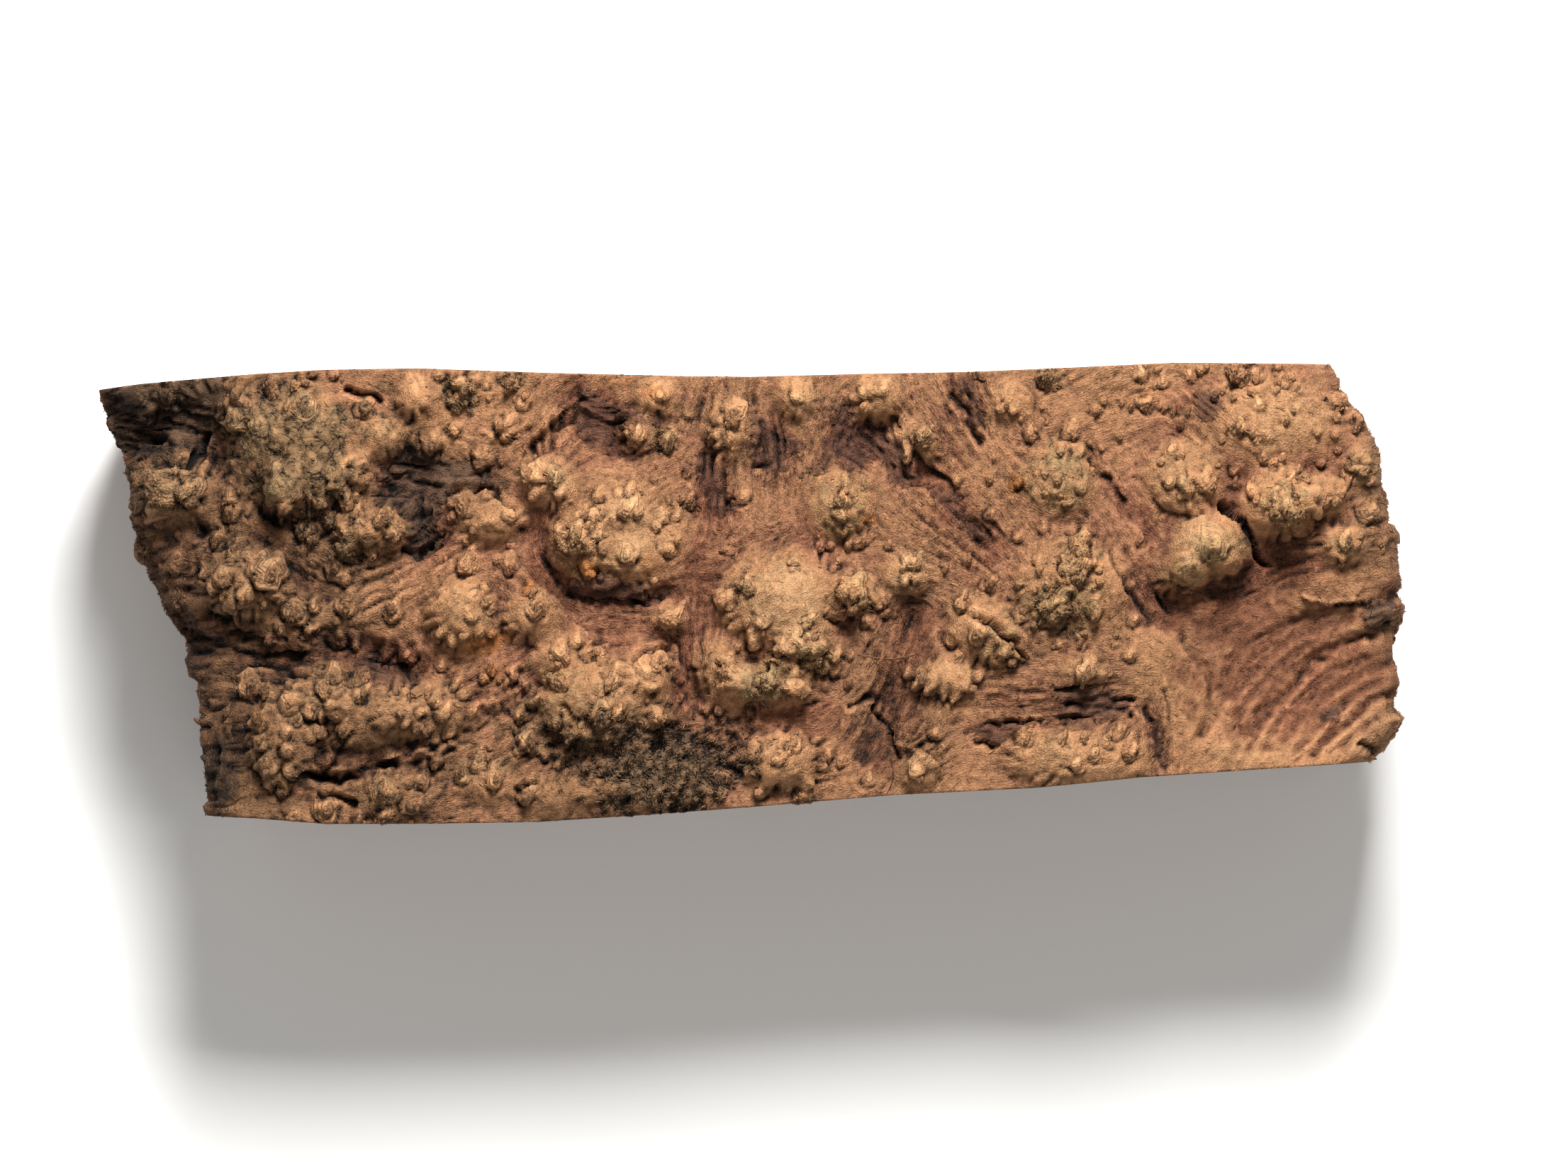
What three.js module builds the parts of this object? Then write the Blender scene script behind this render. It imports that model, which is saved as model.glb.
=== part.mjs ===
// Briar block: a length of root burl with its natural knobbly rind kept as the upper face.
// The two long sides and the back are sawn flat; both ends are natural and ragged.
// Millimetres. +X runs along the block, +Y across it, +Z up from the sawn back to the rind.
import * as THREE from 'three';
import { mergeGeometries, mergeVertices } from 'three/addons/utils/BufferGeometryUtils.js';

// Driving dimensions
const GROUND = 42;          // sawn back to the low ground between the swellings
const SWELLING_SCALE = 1.35; // how far the swellings stand out, as a share of their listed height
const HOLLOW_DEPTH = 2.2;   // how far the hollows of the natural ends go in
const HOLLOW_SPAN = 7;      // distance between one hollow of the ends and the next
const KNOB_HEIGHT = 1.7;    // height that the widest knobs come near to
const KNOB_REACH = 1.9;     // radius at which a knob has about two thirds of that height
const KNOB_SPREAD = 1.25;   // foot of a knob as a share of its radius
const COLUMNS = 110;        // mesh steps from the back, over the rind, to the back again
const ROWS = 39;            // mesh steps across the rind
const WELD = 1e-3;          // vertices closer than this are one

// Sawn long edges, seen from above: x, y
const FAR_EDGE = [
  [-93, 29], [-87, 29.7], [-80, 30.3], [-70, 31.1], [-60, 31.7], [-47, 31.9], [-30, 31.3],
  [-10, 30.8], [0, 30.7], [15, 31.1], [31, 31.4], [45, 32], [60, 32.7], [82, 32.5],
];
const NEAR_EDGE = [
  [-78, -31.4], [-70, -31.7], [-60, -32.5], [-45, -32.45], [-30, -32.2], [-15, -31.2],
  [0, -30.1], [20, -28.4], [40, -27.4], [55, -25.9], [70, -24.9], [88, -23.7],
];

// Ragged natural ends, seen from above: y, x
const LEFT_END = [
  [-31.5, -77.4], [-29.5, -77], [-25, -77.5], [-20, -77.9], [-16, -78.2], [-12.3, -78.7],
  [-10.5, -80.2], [-7.5, -79.9], [-5, -81.6], [-2.2, -82.7], [0, -84], [2.7, -85.3],
  [5.3, -87], [8.5, -87], [10, -88], [16.5, -88], [20, -89], [22, -90.4], [25, -91.7],
  [29, -92.7],
];
const RIGHT_END = [
  [-23.8, 87.4], [-22, 89.1], [-19.7, 90.9], [-17.8, 91.9], [-16.7, 90.8], [-12.8, 91.7],
  [-10, 91.3], [-6, 90.7], [-2, 92.2], [0.2, 91.4], [1.3, 92.2], [3.5, 91.6], [7.4, 90.9],
  [8.1, 91.3], [9.9, 89.9], [15.1, 89], [16.8, 89.3], [19.9, 88.7], [23, 87.3], [24.8, 86.8],
  [28.3, 83.5], [31.2, 82.7], [32.6, 82],
];

// Where the ends meet the sawn back, inside the ragged outline: y, x
const LEFT_FOOT = [[-31.5, -76], [-14, -77.4], [0, -82.8], [10, -86.6], [29, -91.2]];
const RIGHT_FOOT = [[-23.8, 86.6], [-16, 90], [0, 90.6], [16, 88.2], [28, 83], [32.6, 81.4]];

// How the ends fall from the rind to the sawn back: distance in from the outline, share of height
const LEFT_FALL = [
  [3.4, 0], [2.4, 0.16], [1.7, 0.32], [1, 0.47], [0.4, 0.6], [0.1, 0.7], [0, 0.79],
  [0.6, 0.86], [2.2, 0.93], [6, 0.985],
];
const RIGHT_FALL = [
  [2.6, 0], [1.9, 0.16], [1.3, 0.32], [0.7, 0.47], [0.3, 0.6], [0.05, 0.71], [0, 0.8],
  [0.5, 0.88], [1.6, 0.945], [4, 0.99],
];

// Swellings of the rind: x, y, half length, half width, height, turn in degrees
const SWELLINGS = [
  [-64, 21, 10, 10, 4], [-82, 15, 7, 6, 3], [-72, 2, 7, 6, 3], [-53, 9.5, 7, 4, 3],
  [-56, 16, 4.5, 5, 3], [-60, -13, 6, 5, 3], [-66, -20, 6, 8, 3], [-54, -17, 8, 6, 2.5],
  [-47, -16, 8, 5, 2.5], [-41, -2.5, 5.5, 6, 3.5], [-31, -3, 5, 4.5, 2.5],
  [-28.5, 16, 5, 4.5, 3], [-36, 10.5, 5, 4, 2], [-19, 9, 11, 10, 3.8], [-24.5, 8, 4.5, 5.5, 1.4],
  [-17.2, 5.3, 5, 4, 1.5], [-17.5, 12, 4, 3.5, 1.4], [-3, 24, 4, 5, 2], [-16.2, 22.8, 3.2, 3.2, 2],
  [-13.5, 28, 3.5, 3.4, 2], [6.3, 28, 3.6, 3.6, 2.2], [18, 28, 4.3, 4.2, 2.5],
  [22.5, 21, 4.3, 4.2, 2.5], [12.5, 13, 5.5, 6, 2.5], [4, -1, 10, 9, 4], [14.5, 0.5, 4, 3.5, 2],
  [8, -8, 6, 4, 2], [-4, -11, 4.5, 7, 3, 25], [3, -12.5, 7, 4.5, 3], [-21, -15, 11, 8, 4],
  [-27, -8, 6, 3, 2, 30], [-11.5, -3.3, 3.5, 3, 1.8], [-14, -10.5, 5, 4, 2],
  [4, -23.5, 6, 5, 3], [-15, -26, 12, 6, 2], [36.5, 27.5, 4, 3.5, 1.5], [43.5, 16.5, 5, 5.5, 2.5],
  [45, 2, 8, 7, 3], [33, -5, 7, 5, 2.5, -40], [27, -12, 6, 3.5, 2.5], [22, 3, 4, 4, 1.5],
  [47, -11.2, 4, 2.5, 1.8], [46, -22, 11, 4.5, 3], [23.5, -25, 3, 3, 1.8], [61, 16.5, 6, 6, 3],
  [64, 6, 7.5, 7, 4.2], [74.5, 13, 6.5, 6, 4], [80.5, 14, 4.5, 4, 2.5], [86.5, 18, 3, 4, 1.5],
  [83.7, 7, 4, 3.5, 2], [72, 24, 12, 8, 2.5], [-52.5, 22.3, 4, 3.6, 2], [-47.5, 28, 3.2, 3.8, 2.2],
  [-66.5, 15, 3.6, 3.8, 1.5], [76, -11, 18, 13, -2.2], [-96, 0, 27, 70, -3.5],
];

// Knobs standing on the rind: x, y, radius
const KNOBS = [
  [-82.5, 28.5, 2], [-73, 25.5, 3], [-72, 28, 1.5], [-67.7, 29.2, 1.6], [-63.5, 26.5, 3],
  [-66.5, 15, 3.2], [-55.3, 16.4, 2], [-57.2, 13.7, 2], [-63, 8.8, 1.8], [-56.5, 7, 2.5],
  [-58.5, 3.3, 2.2], [-83, 15.5, 3.5], [-84, 11.5, 2.2], [-79, 14.5, 2.6], [-73.7, 13.8, 1.6],
  [-73.5, 11.5, 1.8], [-85.7, 7, 1.8], [-81.5, 4.5, 2], [-75.5, 7.5, 1.5], [-73.2, 6, 1.4],
  [-74.3, 2.2, 1.6], [-68.5, 3.5, 3.3], [-71.3, 0, 1.5], [-73, -1.3, 1.8],
  [-64.5, -2.8, 2.3], [-57.3, -1.8, 1.7], [-62.5, -5.5, 1.4], [-58.7, -6.3, 1.6],
  [-71, -12.8, 2.4], [-68.2, -14, 1.5], [-59.5, -12.5, 2.6], [-55.5, -11.5, 1.5],
  [-55, -14, 1.5], [-65, -15.5, 1.8], [-61, -18.8, 1.4], [-69.5, -18, 1.7], [-69, -20.8, 1.5],
  [-60, -23.3, 1.8], [-57.5, -19, 1.5], [-68.5, -24, 2], [-65, -25, 1.4], [-66, -27.3, 1.4],
  [-60, -30.5, 2.8], [-55.5, -31.5, 1.5],
  [-45.2, 21.5, 1.9], [-41.5, 28, 2], [-40.5, 29, 1.8], [-54.5, 26.5, 1.8], [-34, 30.5, 2],
  [-34.5, 23.8, 2.4], [-37.7, 19.7, 2.2], [-40.7, 12.6, 1.9], [-28, 16.3, 1.4], [-31, 17, 2],
  [-24.5, 8, 3], [-23, 4, 1.7], [-34, 4.2, 1.6], [-40, 4, 2],
  [-50.5, -2.5, 1.9], [-30.3, -2.2, 2], [-48.4, -8.5, 1.6], [-51.8, -8.3, 1.4],
  [-33.5, -11.5, 1.4], [-42.5, -20.3, 1.4], [-27, -12, 1.8], [-26.8, -8.2, 1.5],
  [-21.2, -8.7, 1.4], [-32.8, -17, 1.5], [-19.5, -12, 1.8], [-21, -16.7, 2],
  [-25.5, -20.2, 1.5], [-31.8, -20.5, 2], [-27.3, -23.5, 1.4], [-44.5, -23.7, 1.5],
  [-38.5, -23.8, 1.6], [-36.3, -26.5, 1.4], [-41, -25.8, 1.5], [-46.5, -26.5, 1.4],
  [-52, -27.5, 3], [-52.3, -31, 2], [-48, -30, 1.8], [-31.5, -28, 2],
  [-2.5, 25, 2.2], [-16.2, 22.8, 2.2], [-11.8, 21.7, 1.8], [-17.5, 11.8, 1.9],
  [-11.7, 6.5, 1.5], [-17.2, 5.3, 1.9], [-3.5, -0.8, 1.7], [12.7, 13.5, 1.5], [14.5, 0.5, 2.8],
  [-14.5, -9.5, 2.2], [-11.5, -3.3, 2.2], [6, -7.5, 1.8], [8.5, -8.5, 2.2], [12, -2.5, 1.8],
  [2.3, -12, 2], [6.5, -13, 2], [-20, -16.3, 1.6], [-13.5, -17, 1.4], [6, -21, 1.5],
  [7.3, -28.5, 1.6], [10.3, -23.3, 1.8],
  [24.2, 22.3, 1.5], [39.5, 22.8, 1.4], [45.3, 23, 1.5], [42, 30.5, 2], [46.5, 6.3, 1.8],
  [46, 3.5, 2.5], [33.7, 1.5, 1.5], [22.3, 4.8, 1.4], [29.7, -1.2, 1.4], [32, -6, 1.8],
  [26, -12, 1.5], [38, -3, 1.4], [43, -2, 3.2], [48.5, -2.5, 1.7], [47, -11.2, 1.9],
  [39, -21, 2.2], [23.5, -25, 1.8],
  [68.5, 31.3, 2.3], [71.3, 30.8, 1.4], [69, 23.4, 1.4], [83, 27.5, 1.8], [64, 15.7, 1.8],
  [75, 12.5, 3], [86, 18, 1.8], [87.2, 11.7, 2], [83.7, 7, 1.8], [65.5, 6.5, 3.5],
  [61.5, 2.5, 3],
];

// Furrows (negative) and ridges (positive): half width, height, then x, y of each point
const STROKES = [
  [4.5, -3.5, -91, 25, -84, 23, -78, 22], [4, -3, -80, -7, -70, -9, -60, -9, -50, -11],
  [3.5, -2.5, -53, 16, -47, 14, -46, 8], [2.5, -1.8, -47, 18, -38, 17],
  [2.2, -2.5, -30, 9, -29.5, 5, -27, 2, -23, 0, -18, -1, -12, 0], [2, -1.3, -9.5, 0, -9, -8, -8, -15],
  [4, -2, 24, -5, 22, -12, 18, -20], [3.5, -1.6, 32, -17, 44, -17, 54, -16],
  [3, -1.8, 56, -14, 57, -24], [4.5, -3, 60, -1, 70, 0, 74, 4], [2.2, -1.5, 18, 24, 26, 15, 34, 6],
  [1.8, -2, 48, 20, 50, 15.5, 54, 10.5, 56, 8.5], [1.8, -1.8, 50, 6.3, 54, 0, 55.5, -2.5],
  [1.2, -2.8, 67.8, 10.3, 70.3, 6.8, 72.3, 4.2], [1.4, -2, -63, -25.5, -58, -26.2, -51, -24.5],
  [1.3, -1.5, -17, -8.6, -12.2, -7.8], [1.4, -1.4, 31.5, -3, 36, -5.5, 39, -8.8],
  [1.6, -1.8, -70, 16, -68.5, 12, -64.5, 9.5], [1.4, -1.8, -84, 19, -79.5, 18.2, -77, 22.5],
  [3, -1.5, -24, 27, -18, 23], [2, -1.3, -6.5, 19, -5, 12], [2.5, -1.5, 2, 25, 4, 20],
  [3, -1.8, 13, 22, 21, 18], [2.2, -2, -49, 6, -45, 7],
  [1.5, -1.4, 91, -3.8, 84, -7.8, 80.7, -8.7, 75.8, -13.6, 70.5, -20],
  [1.3, -0.7, 87, -3, 80, -4.6, 74, -8, 69, -14.2, 66.3, -20], [1.3, -0.7, 78, -2.5, 68, -8.5, 63.5, -16],
  [1.3, -0.7, 91.5, -8.5, 82, -13, 76.5, -18, 72.5, -25], [1.3, -0.7, 92, -12.5, 84.5, -17, 77, -24],
  [1.3, 1.2, -58, -26, -54, -24.3, -46, -22.3, -42, -21.8], [1.1, 0.5, 67, 12.3, 72, 8],
  [1.1, 0.5, 33, 0, 35.5, -2.5, 39, -6], [1.1, 1.5, 79, -0.7, 85.5, -0.7],
  [1, 0.9, -40, -17.5, -36.3, -15.2], [1, 0.8, 21, -21.5, 26.5, -25],
];

const mix = (from, to, share) => from + (to - from) * share;

// Straight steps through a list of [place, value]
function follow(list, place) {
  let k = 1;
  while (k < list.length - 1 && list[k][0] < place) k += 1;
  const [before, after] = [list[k - 1], list[k]];
  const share = (place - before[0]) / (after[0] - before[0]);
  return mix(before[1], after[1], THREE.MathUtils.clamp(share, 0, 1));
}

// A repeatable random number for a whole-numbered place
function chance(i, j) {
  const s = Math.sin(i * 127.1 + j * 311.7) * 43758.5453;
  return s - Math.floor(s);
}

// Smooth lumps between 0 and 1, one to each square of side 1
function lumps(a, b) {
  const [i, j] = [Math.floor(a), Math.floor(b)];
  const s = THREE.MathUtils.smoothstep(a - i, 0, 1);
  const t = THREE.MathUtils.smoothstep(b - j, 0, 1);
  const low = mix(chance(i, j), chance(i + 1, j), s);
  const high = mix(chance(i, j + 1), chance(i + 1, j + 1), s);
  return mix(low, high, t);
}

// Height that one swelling gives a place: a full dome with a steep foot
function swellingAt([cx, cy, rx, ry, height, turn = 0], x, y) {
  const angle = THREE.MathUtils.degToRad(turn);
  const along = (x - cx) * Math.cos(angle) + (y - cy) * Math.sin(angle);
  const across = (y - cy) * Math.cos(angle) - (x - cx) * Math.sin(angle);
  const d = (along / rx) ** 2 + (across / ry) ** 2;
  return d < 1 ? SWELLING_SCALE * height * (1 - d) ** 0.85 : 0;
}

// Height that one knob gives a place
function knobAt([cx, cy, radius], x, y) {
  const d = ((x - cx) ** 2 + (y - cy) ** 2) / (radius * KNOB_SPREAD) ** 2;
  return d < 1 ? KNOB_HEIGHT * (1 - Math.exp(-radius / KNOB_REACH)) * (1 - d) : 0;
}

// Height that one furrow or ridge gives a place, from the distance to its line
function strokeAt([halfWidth, height, ...line], x, y) {
  let nearest = Infinity;
  for (let k = 0; k + 3 < line.length; k += 2) {
    const [dx, dy] = [line[k + 2] - line[k], line[k + 3] - line[k + 1]];
    const share = ((x - line[k]) * dx + (y - line[k + 1]) * dy) / (dx * dx + dy * dy);
    const t = THREE.MathUtils.clamp(share, 0, 1);
    nearest = Math.min(nearest, Math.hypot(x - line[k] - dx * t, y - line[k + 1] - dy * t));
  }
  return height * Math.exp(-((nearest / halfWidth) ** 2));
}

// Height of the rind over the sawn back
function rindHeight(x, y) {
  const sum = (list, at) => list.reduce((total, item) => total + at(item, x, y), 0);
  return GROUND + sum(SWELLINGS, swellingAt) + sum(KNOBS, knobAt) + sum(STROKES, strokeAt);
}

// One point of the natural surface: column counted from the left foot, share from near to far edge
function naturalPoint(column, across) {
  const fromRight = COLUMNS - column;
  const left = LEFT_FALL[Math.min(column, LEFT_FALL.length - 1)];
  const right = RIGHT_FALL[Math.min(fromRight, RIGHT_FALL.length - 1)];
  const steps = COLUMNS - LEFT_FALL.length - RIGHT_FALL.length + 2;
  const along = THREE.MathUtils.clamp((column - LEFT_FALL.length + 1) / steps, 0, 1);
  const share = Math.min(left[1] / LEFT_FALL.at(-1)[1], right[1] / RIGHT_FALL.at(-1)[1]);
  const ragged = THREE.MathUtils.smoothstep(share, 0, 0.45);
  let x = mix(LEFT_END[0][1], RIGHT_END[0][1], along);
  let y = 0;
  for (let pass = 0; pass < 5; pass += 1) {
    y = mix(follow(NEAR_EDGE, x), follow(FAR_EDGE, x), across);
    const hollow = (1 - ragged) * HOLLOW_DEPTH
      * lumps(y / HOLLOW_SPAN + 40, (share * GROUND) / HOLLOW_SPAN + along * 9);
    const leftEnd = mix(follow(LEFT_FOOT, y), follow(LEFT_END, y), ragged) + left[0] + hollow;
    const rightEnd = mix(follow(RIGHT_FOOT, y), follow(RIGHT_END, y), ragged) - right[0] - hollow;
    x = mix(leftEnd, rightEnd, along);
  }
  y = mix(follow(NEAR_EDGE, x), follow(FAR_EDGE, x), across);
  return new THREE.Vector3(x, y, share * rindHeight(x, y));
}

// One point of a sawn side: from the edge of the rind straight down to the back
function sawnPoint(edge, across, column, down) {
  const top = naturalPoint(column, across);
  const [start, end] = [naturalPoint(0, across).x, naturalPoint(COLUMNS, across).x];
  const foot = mix(start, end, column / COLUMNS);
  const x = mix(top.x, foot, down);
  return new THREE.Vector3(x, down === 0 ? top.y : follow(edge, x), mix(top.z, 0, down));
}

// A sheet of the skin: a plane of unit steps, each vertex moved to where the function puts it
function sheet(columns, rows, place) {
  const geometry = new THREE.PlaneGeometry(columns, rows, columns, rows);
  const at = geometry.attributes.position;
  for (let k = 0; k < at.count; k += 1) {
    const column = Math.round(at.getX(k) + columns / 2);
    const row = Math.round(at.getY(k) + rows / 2);
    at.setXYZ(k, ...place(column, row).toArray());
  }
  return bare(geometry);
}

// Only positions and triangles, so that the sheets weld along their edges
function bare(geometry) {
  geometry.deleteAttribute('normal');
  geometry.deleteAttribute('uv');
  return geometry;
}

// The sawn back, facing down, inside the feet of the sides and ends
function backSheet() {
  const outline = [];
  const add = (point) => outline.push(new THREE.Vector2(point.x, point.y));
  for (let c = 0; c <= COLUMNS; c += 1) add(sawnPoint(NEAR_EDGE, 0, c, 1));
  for (let r = 1; r < ROWS; r += 1) add(naturalPoint(COLUMNS, r / ROWS));
  for (let c = COLUMNS; c >= 0; c -= 1) add(sawnPoint(FAR_EDGE, 1, c, 1));
  for (let r = ROWS - 1; r > 0; r -= 1) add(naturalPoint(0, r / ROWS));
  const geometry = bare(new THREE.ShapeGeometry(new THREE.Shape(outline)));
  geometry.setIndex([...geometry.index.array].reverse());
  return geometry;
}

// Moves a solid so that the middle of its sawn back is the origin
function centred(geometry) {
  geometry.computeBoundingBox();
  const middle = geometry.boundingBox.getCenter(new THREE.Vector3());
  return geometry.translate(-middle.x, -middle.y, 0);
}

// Welds the sheets and leaves out triangles that the weld has closed to a line
function weld(sheets) {
  const welded = mergeVertices(mergeGeometries(sheets), WELD);
  const corners = welded.index.array;
  const kept = [];
  for (let k = 0; k < corners.length; k += 3) {
    const [a, b, c] = corners.slice(k, k + 3);
    if (a !== b && b !== c && c !== a) kept.push(a, b, c);
  }
  welded.setIndex(kept);
  welded.computeVertexNormals();
  return welded;
}

const rindSheet = sheet(COLUMNS, ROWS, (c, r) => naturalPoint(c, r / ROWS));
const nearSheet = sheet(COLUMNS, 1, (c, r) => sawnPoint(NEAR_EDGE, 0, c, 1 - r));
const farSheet = sheet(COLUMNS, 1, (c, r) => sawnPoint(FAR_EDGE, 1, COLUMNS - c, 1 - r));

const burlWood = new THREE.MeshStandardMaterial({ color: '#a9764e', roughness: 0.85, metalness: 0 });
const burlSolid = centred(weld([rindSheet, nearSheet, farSheet, backSheet()]));
const burlBlock = new THREE.Mesh(burlSolid, burlWood);
burlBlock.name = 'burl_block';

const briarBlock = new THREE.Group();
briarBlock.add(burlBlock);

export default briarBlock;
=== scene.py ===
import math

import bmesh
import bpy
import numpy as np
from bpy.props import FloatProperty, FloatVectorProperty, IntProperty, PointerProperty
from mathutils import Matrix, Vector


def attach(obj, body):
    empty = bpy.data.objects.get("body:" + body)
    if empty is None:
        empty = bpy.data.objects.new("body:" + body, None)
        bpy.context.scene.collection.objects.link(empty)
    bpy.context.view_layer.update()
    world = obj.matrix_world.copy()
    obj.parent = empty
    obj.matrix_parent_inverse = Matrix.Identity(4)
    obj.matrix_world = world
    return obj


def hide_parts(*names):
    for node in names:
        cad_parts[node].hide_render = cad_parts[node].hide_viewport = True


bl_info = {
    "name": "Briar Block",
    "version": (1, 0, 0),
    "blender": (4, 5, 0),
    "location": "View3D > Sidebar > Briar Block",
    "description": "A length of briar root burl with its natural knobbly rind, felted with torn fibre",
    "category": "Object",
}

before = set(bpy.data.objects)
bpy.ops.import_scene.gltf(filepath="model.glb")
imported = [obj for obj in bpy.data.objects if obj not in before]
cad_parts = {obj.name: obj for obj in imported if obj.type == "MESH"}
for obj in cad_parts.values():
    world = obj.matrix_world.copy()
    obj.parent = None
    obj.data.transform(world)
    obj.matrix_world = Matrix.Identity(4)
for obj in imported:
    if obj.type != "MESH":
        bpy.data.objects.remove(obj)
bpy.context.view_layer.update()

MM = 0.001                  # one millimetre in metres
GROUND = 42.0               # sawn back to the low ground between the swellings, mm
STEP = 0.2                  # spacing of the raster that the rind is worked out on, mm
GRID_X = np.arange(-140.0, 140.0, STEP)
GRID_Y = np.arange(-36.0, 36.0, STEP)
X, Y = np.meshgrid(GRID_X, GRID_Y)

# Sawn long edges, seen from above: x, y in mm
FAR_EDGE = [
    (-93, 29), (-87, 29.7), (-80, 30.3), (-70, 31.1), (-60, 31.7), (-47, 31.9), (-30, 31.3),
    (-10, 30.8), (0, 30.7), (15, 31.1), (31, 31.4), (45, 32), (60, 32.7), (82, 32.5),
]
NEAR_EDGE = [
    (-78, -31.4), (-70, -31.7), (-60, -32.5), (-45, -32.45), (-30, -32.2), (-15, -31.2),
    (0, -30.1), (20, -28.4), (40, -27.4), (55, -25.9), (70, -24.9), (88, -23.7),
]

# Ragged natural ends, seen from above: y, x in mm
LEFT_END = [
    (-31.8, -77.1), (-30.5, -77.6), (-29.5, -77), (-27, -77.2), (-25, -77.5), (-23, -77.7),
    (-20, -77.9), (-18, -78), (-16, -78.2), (-14, -78.6), (-12.3, -78.7), (-11.2, -79.8),
    (-9.5, -80.2), (-7.5, -79.9), (-6.2, -80.5), (-5, -81.6), (-3.2, -82.5), (-1.2, -83.5),
    (0, -84), (1.2, -84.4), (2.7, -85.3), (4.2, -85.8), (5.3, -87), (6.5, -87.2), (8.5, -87),
    (10, -88), (16.5, -88), (18, -88.5), (20, -89), (21.8, -90.2), (23.5, -91.4), (25, -91.7),
    (27.5, -92.3), (29, -92.7),
]
RIGHT_END = [
    (-24, 87.2), (-23.5, 88.1), (-22, 89.1), (-21, 89.9), (-19.7, 90.9), (-17.8, 91.9),
    (-16.7, 90.8), (-15.1, 90.9), (-12.8, 91.7), (-10, 91.3), (-7.2, 90.7), (-4.7, 90.9),
    (-3.6, 91.7), (-2, 92.2), (0.2, 91.4), (1.3, 92.2), (3.5, 91.6), (7.4, 90.9), (8.1, 91.3),
    (9.9, 89.9), (12.5, 89.5), (15.1, 89), (16.8, 89.3), (19.9, 88.7), (21.7, 88.2), (23, 87.3),
    (24.8, 86.8), (26.6, 85), (28.3, 83.5), (29.2, 83.2), (31.2, 82.7), (32.6, 81.9),
]

# Where the ends meet the sawn back: y, x in mm
LEFT_FOOT = [(-31.5, -76), (-14, -77.4), (0, -82.8), (10, -86.6), (29, -91.2)]
RIGHT_FOOT = [(-23.8, 86.6), (-16, 90), (0, 90.6), (16, 88.2), (28, 83), (32.6, 81.4)]

# How the ends fall from the rind to the sawn back: mm in from the outline, share of height
LEFT_FALL = [
    (3.4, 0), (2.4, 0.16), (1.7, 0.32), (1, 0.47), (0.4, 0.6), (0.1, 0.7), (0, 0.79),
    (0.6, 0.86), (2.2, 0.93), (6, 0.985),
]
RIGHT_FALL = [
    (2.6, 0), (1.9, 0.16), (1.3, 0.32), (0.7, 0.47), (0.3, 0.6), (0.05, 0.71), (0, 0.8),
    (0.5, 0.88), (1.6, 0.945), (4, 0.99),
]
SHOULDER = 0.9              # share of height below which an end counts as wall
KNOB_GROWTH = 0.65          # power of a knob's radius that its height grows with
BUD_LIMIT = 0.85            # a knob with a smaller radius than this is a bud of its own, mm
FINE_BUD = 0.6              # a bud with a smaller radius than this has fewer faces, mm
KNOB_WAIST = 0.84           # a knob's half width as a share of what is listed
YOUNG_KNOBS = 320           # tries at a small knob that isn't listed
WALL_KNOBS = 150            # knobs of the natural ends
WALL_FROM, WALL_FULL = 92, 95   # the raster turns from rind to unrolled end wall, mm from the middle
FACE_REACH = 90             # the rind proper, mm from the middle

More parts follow.
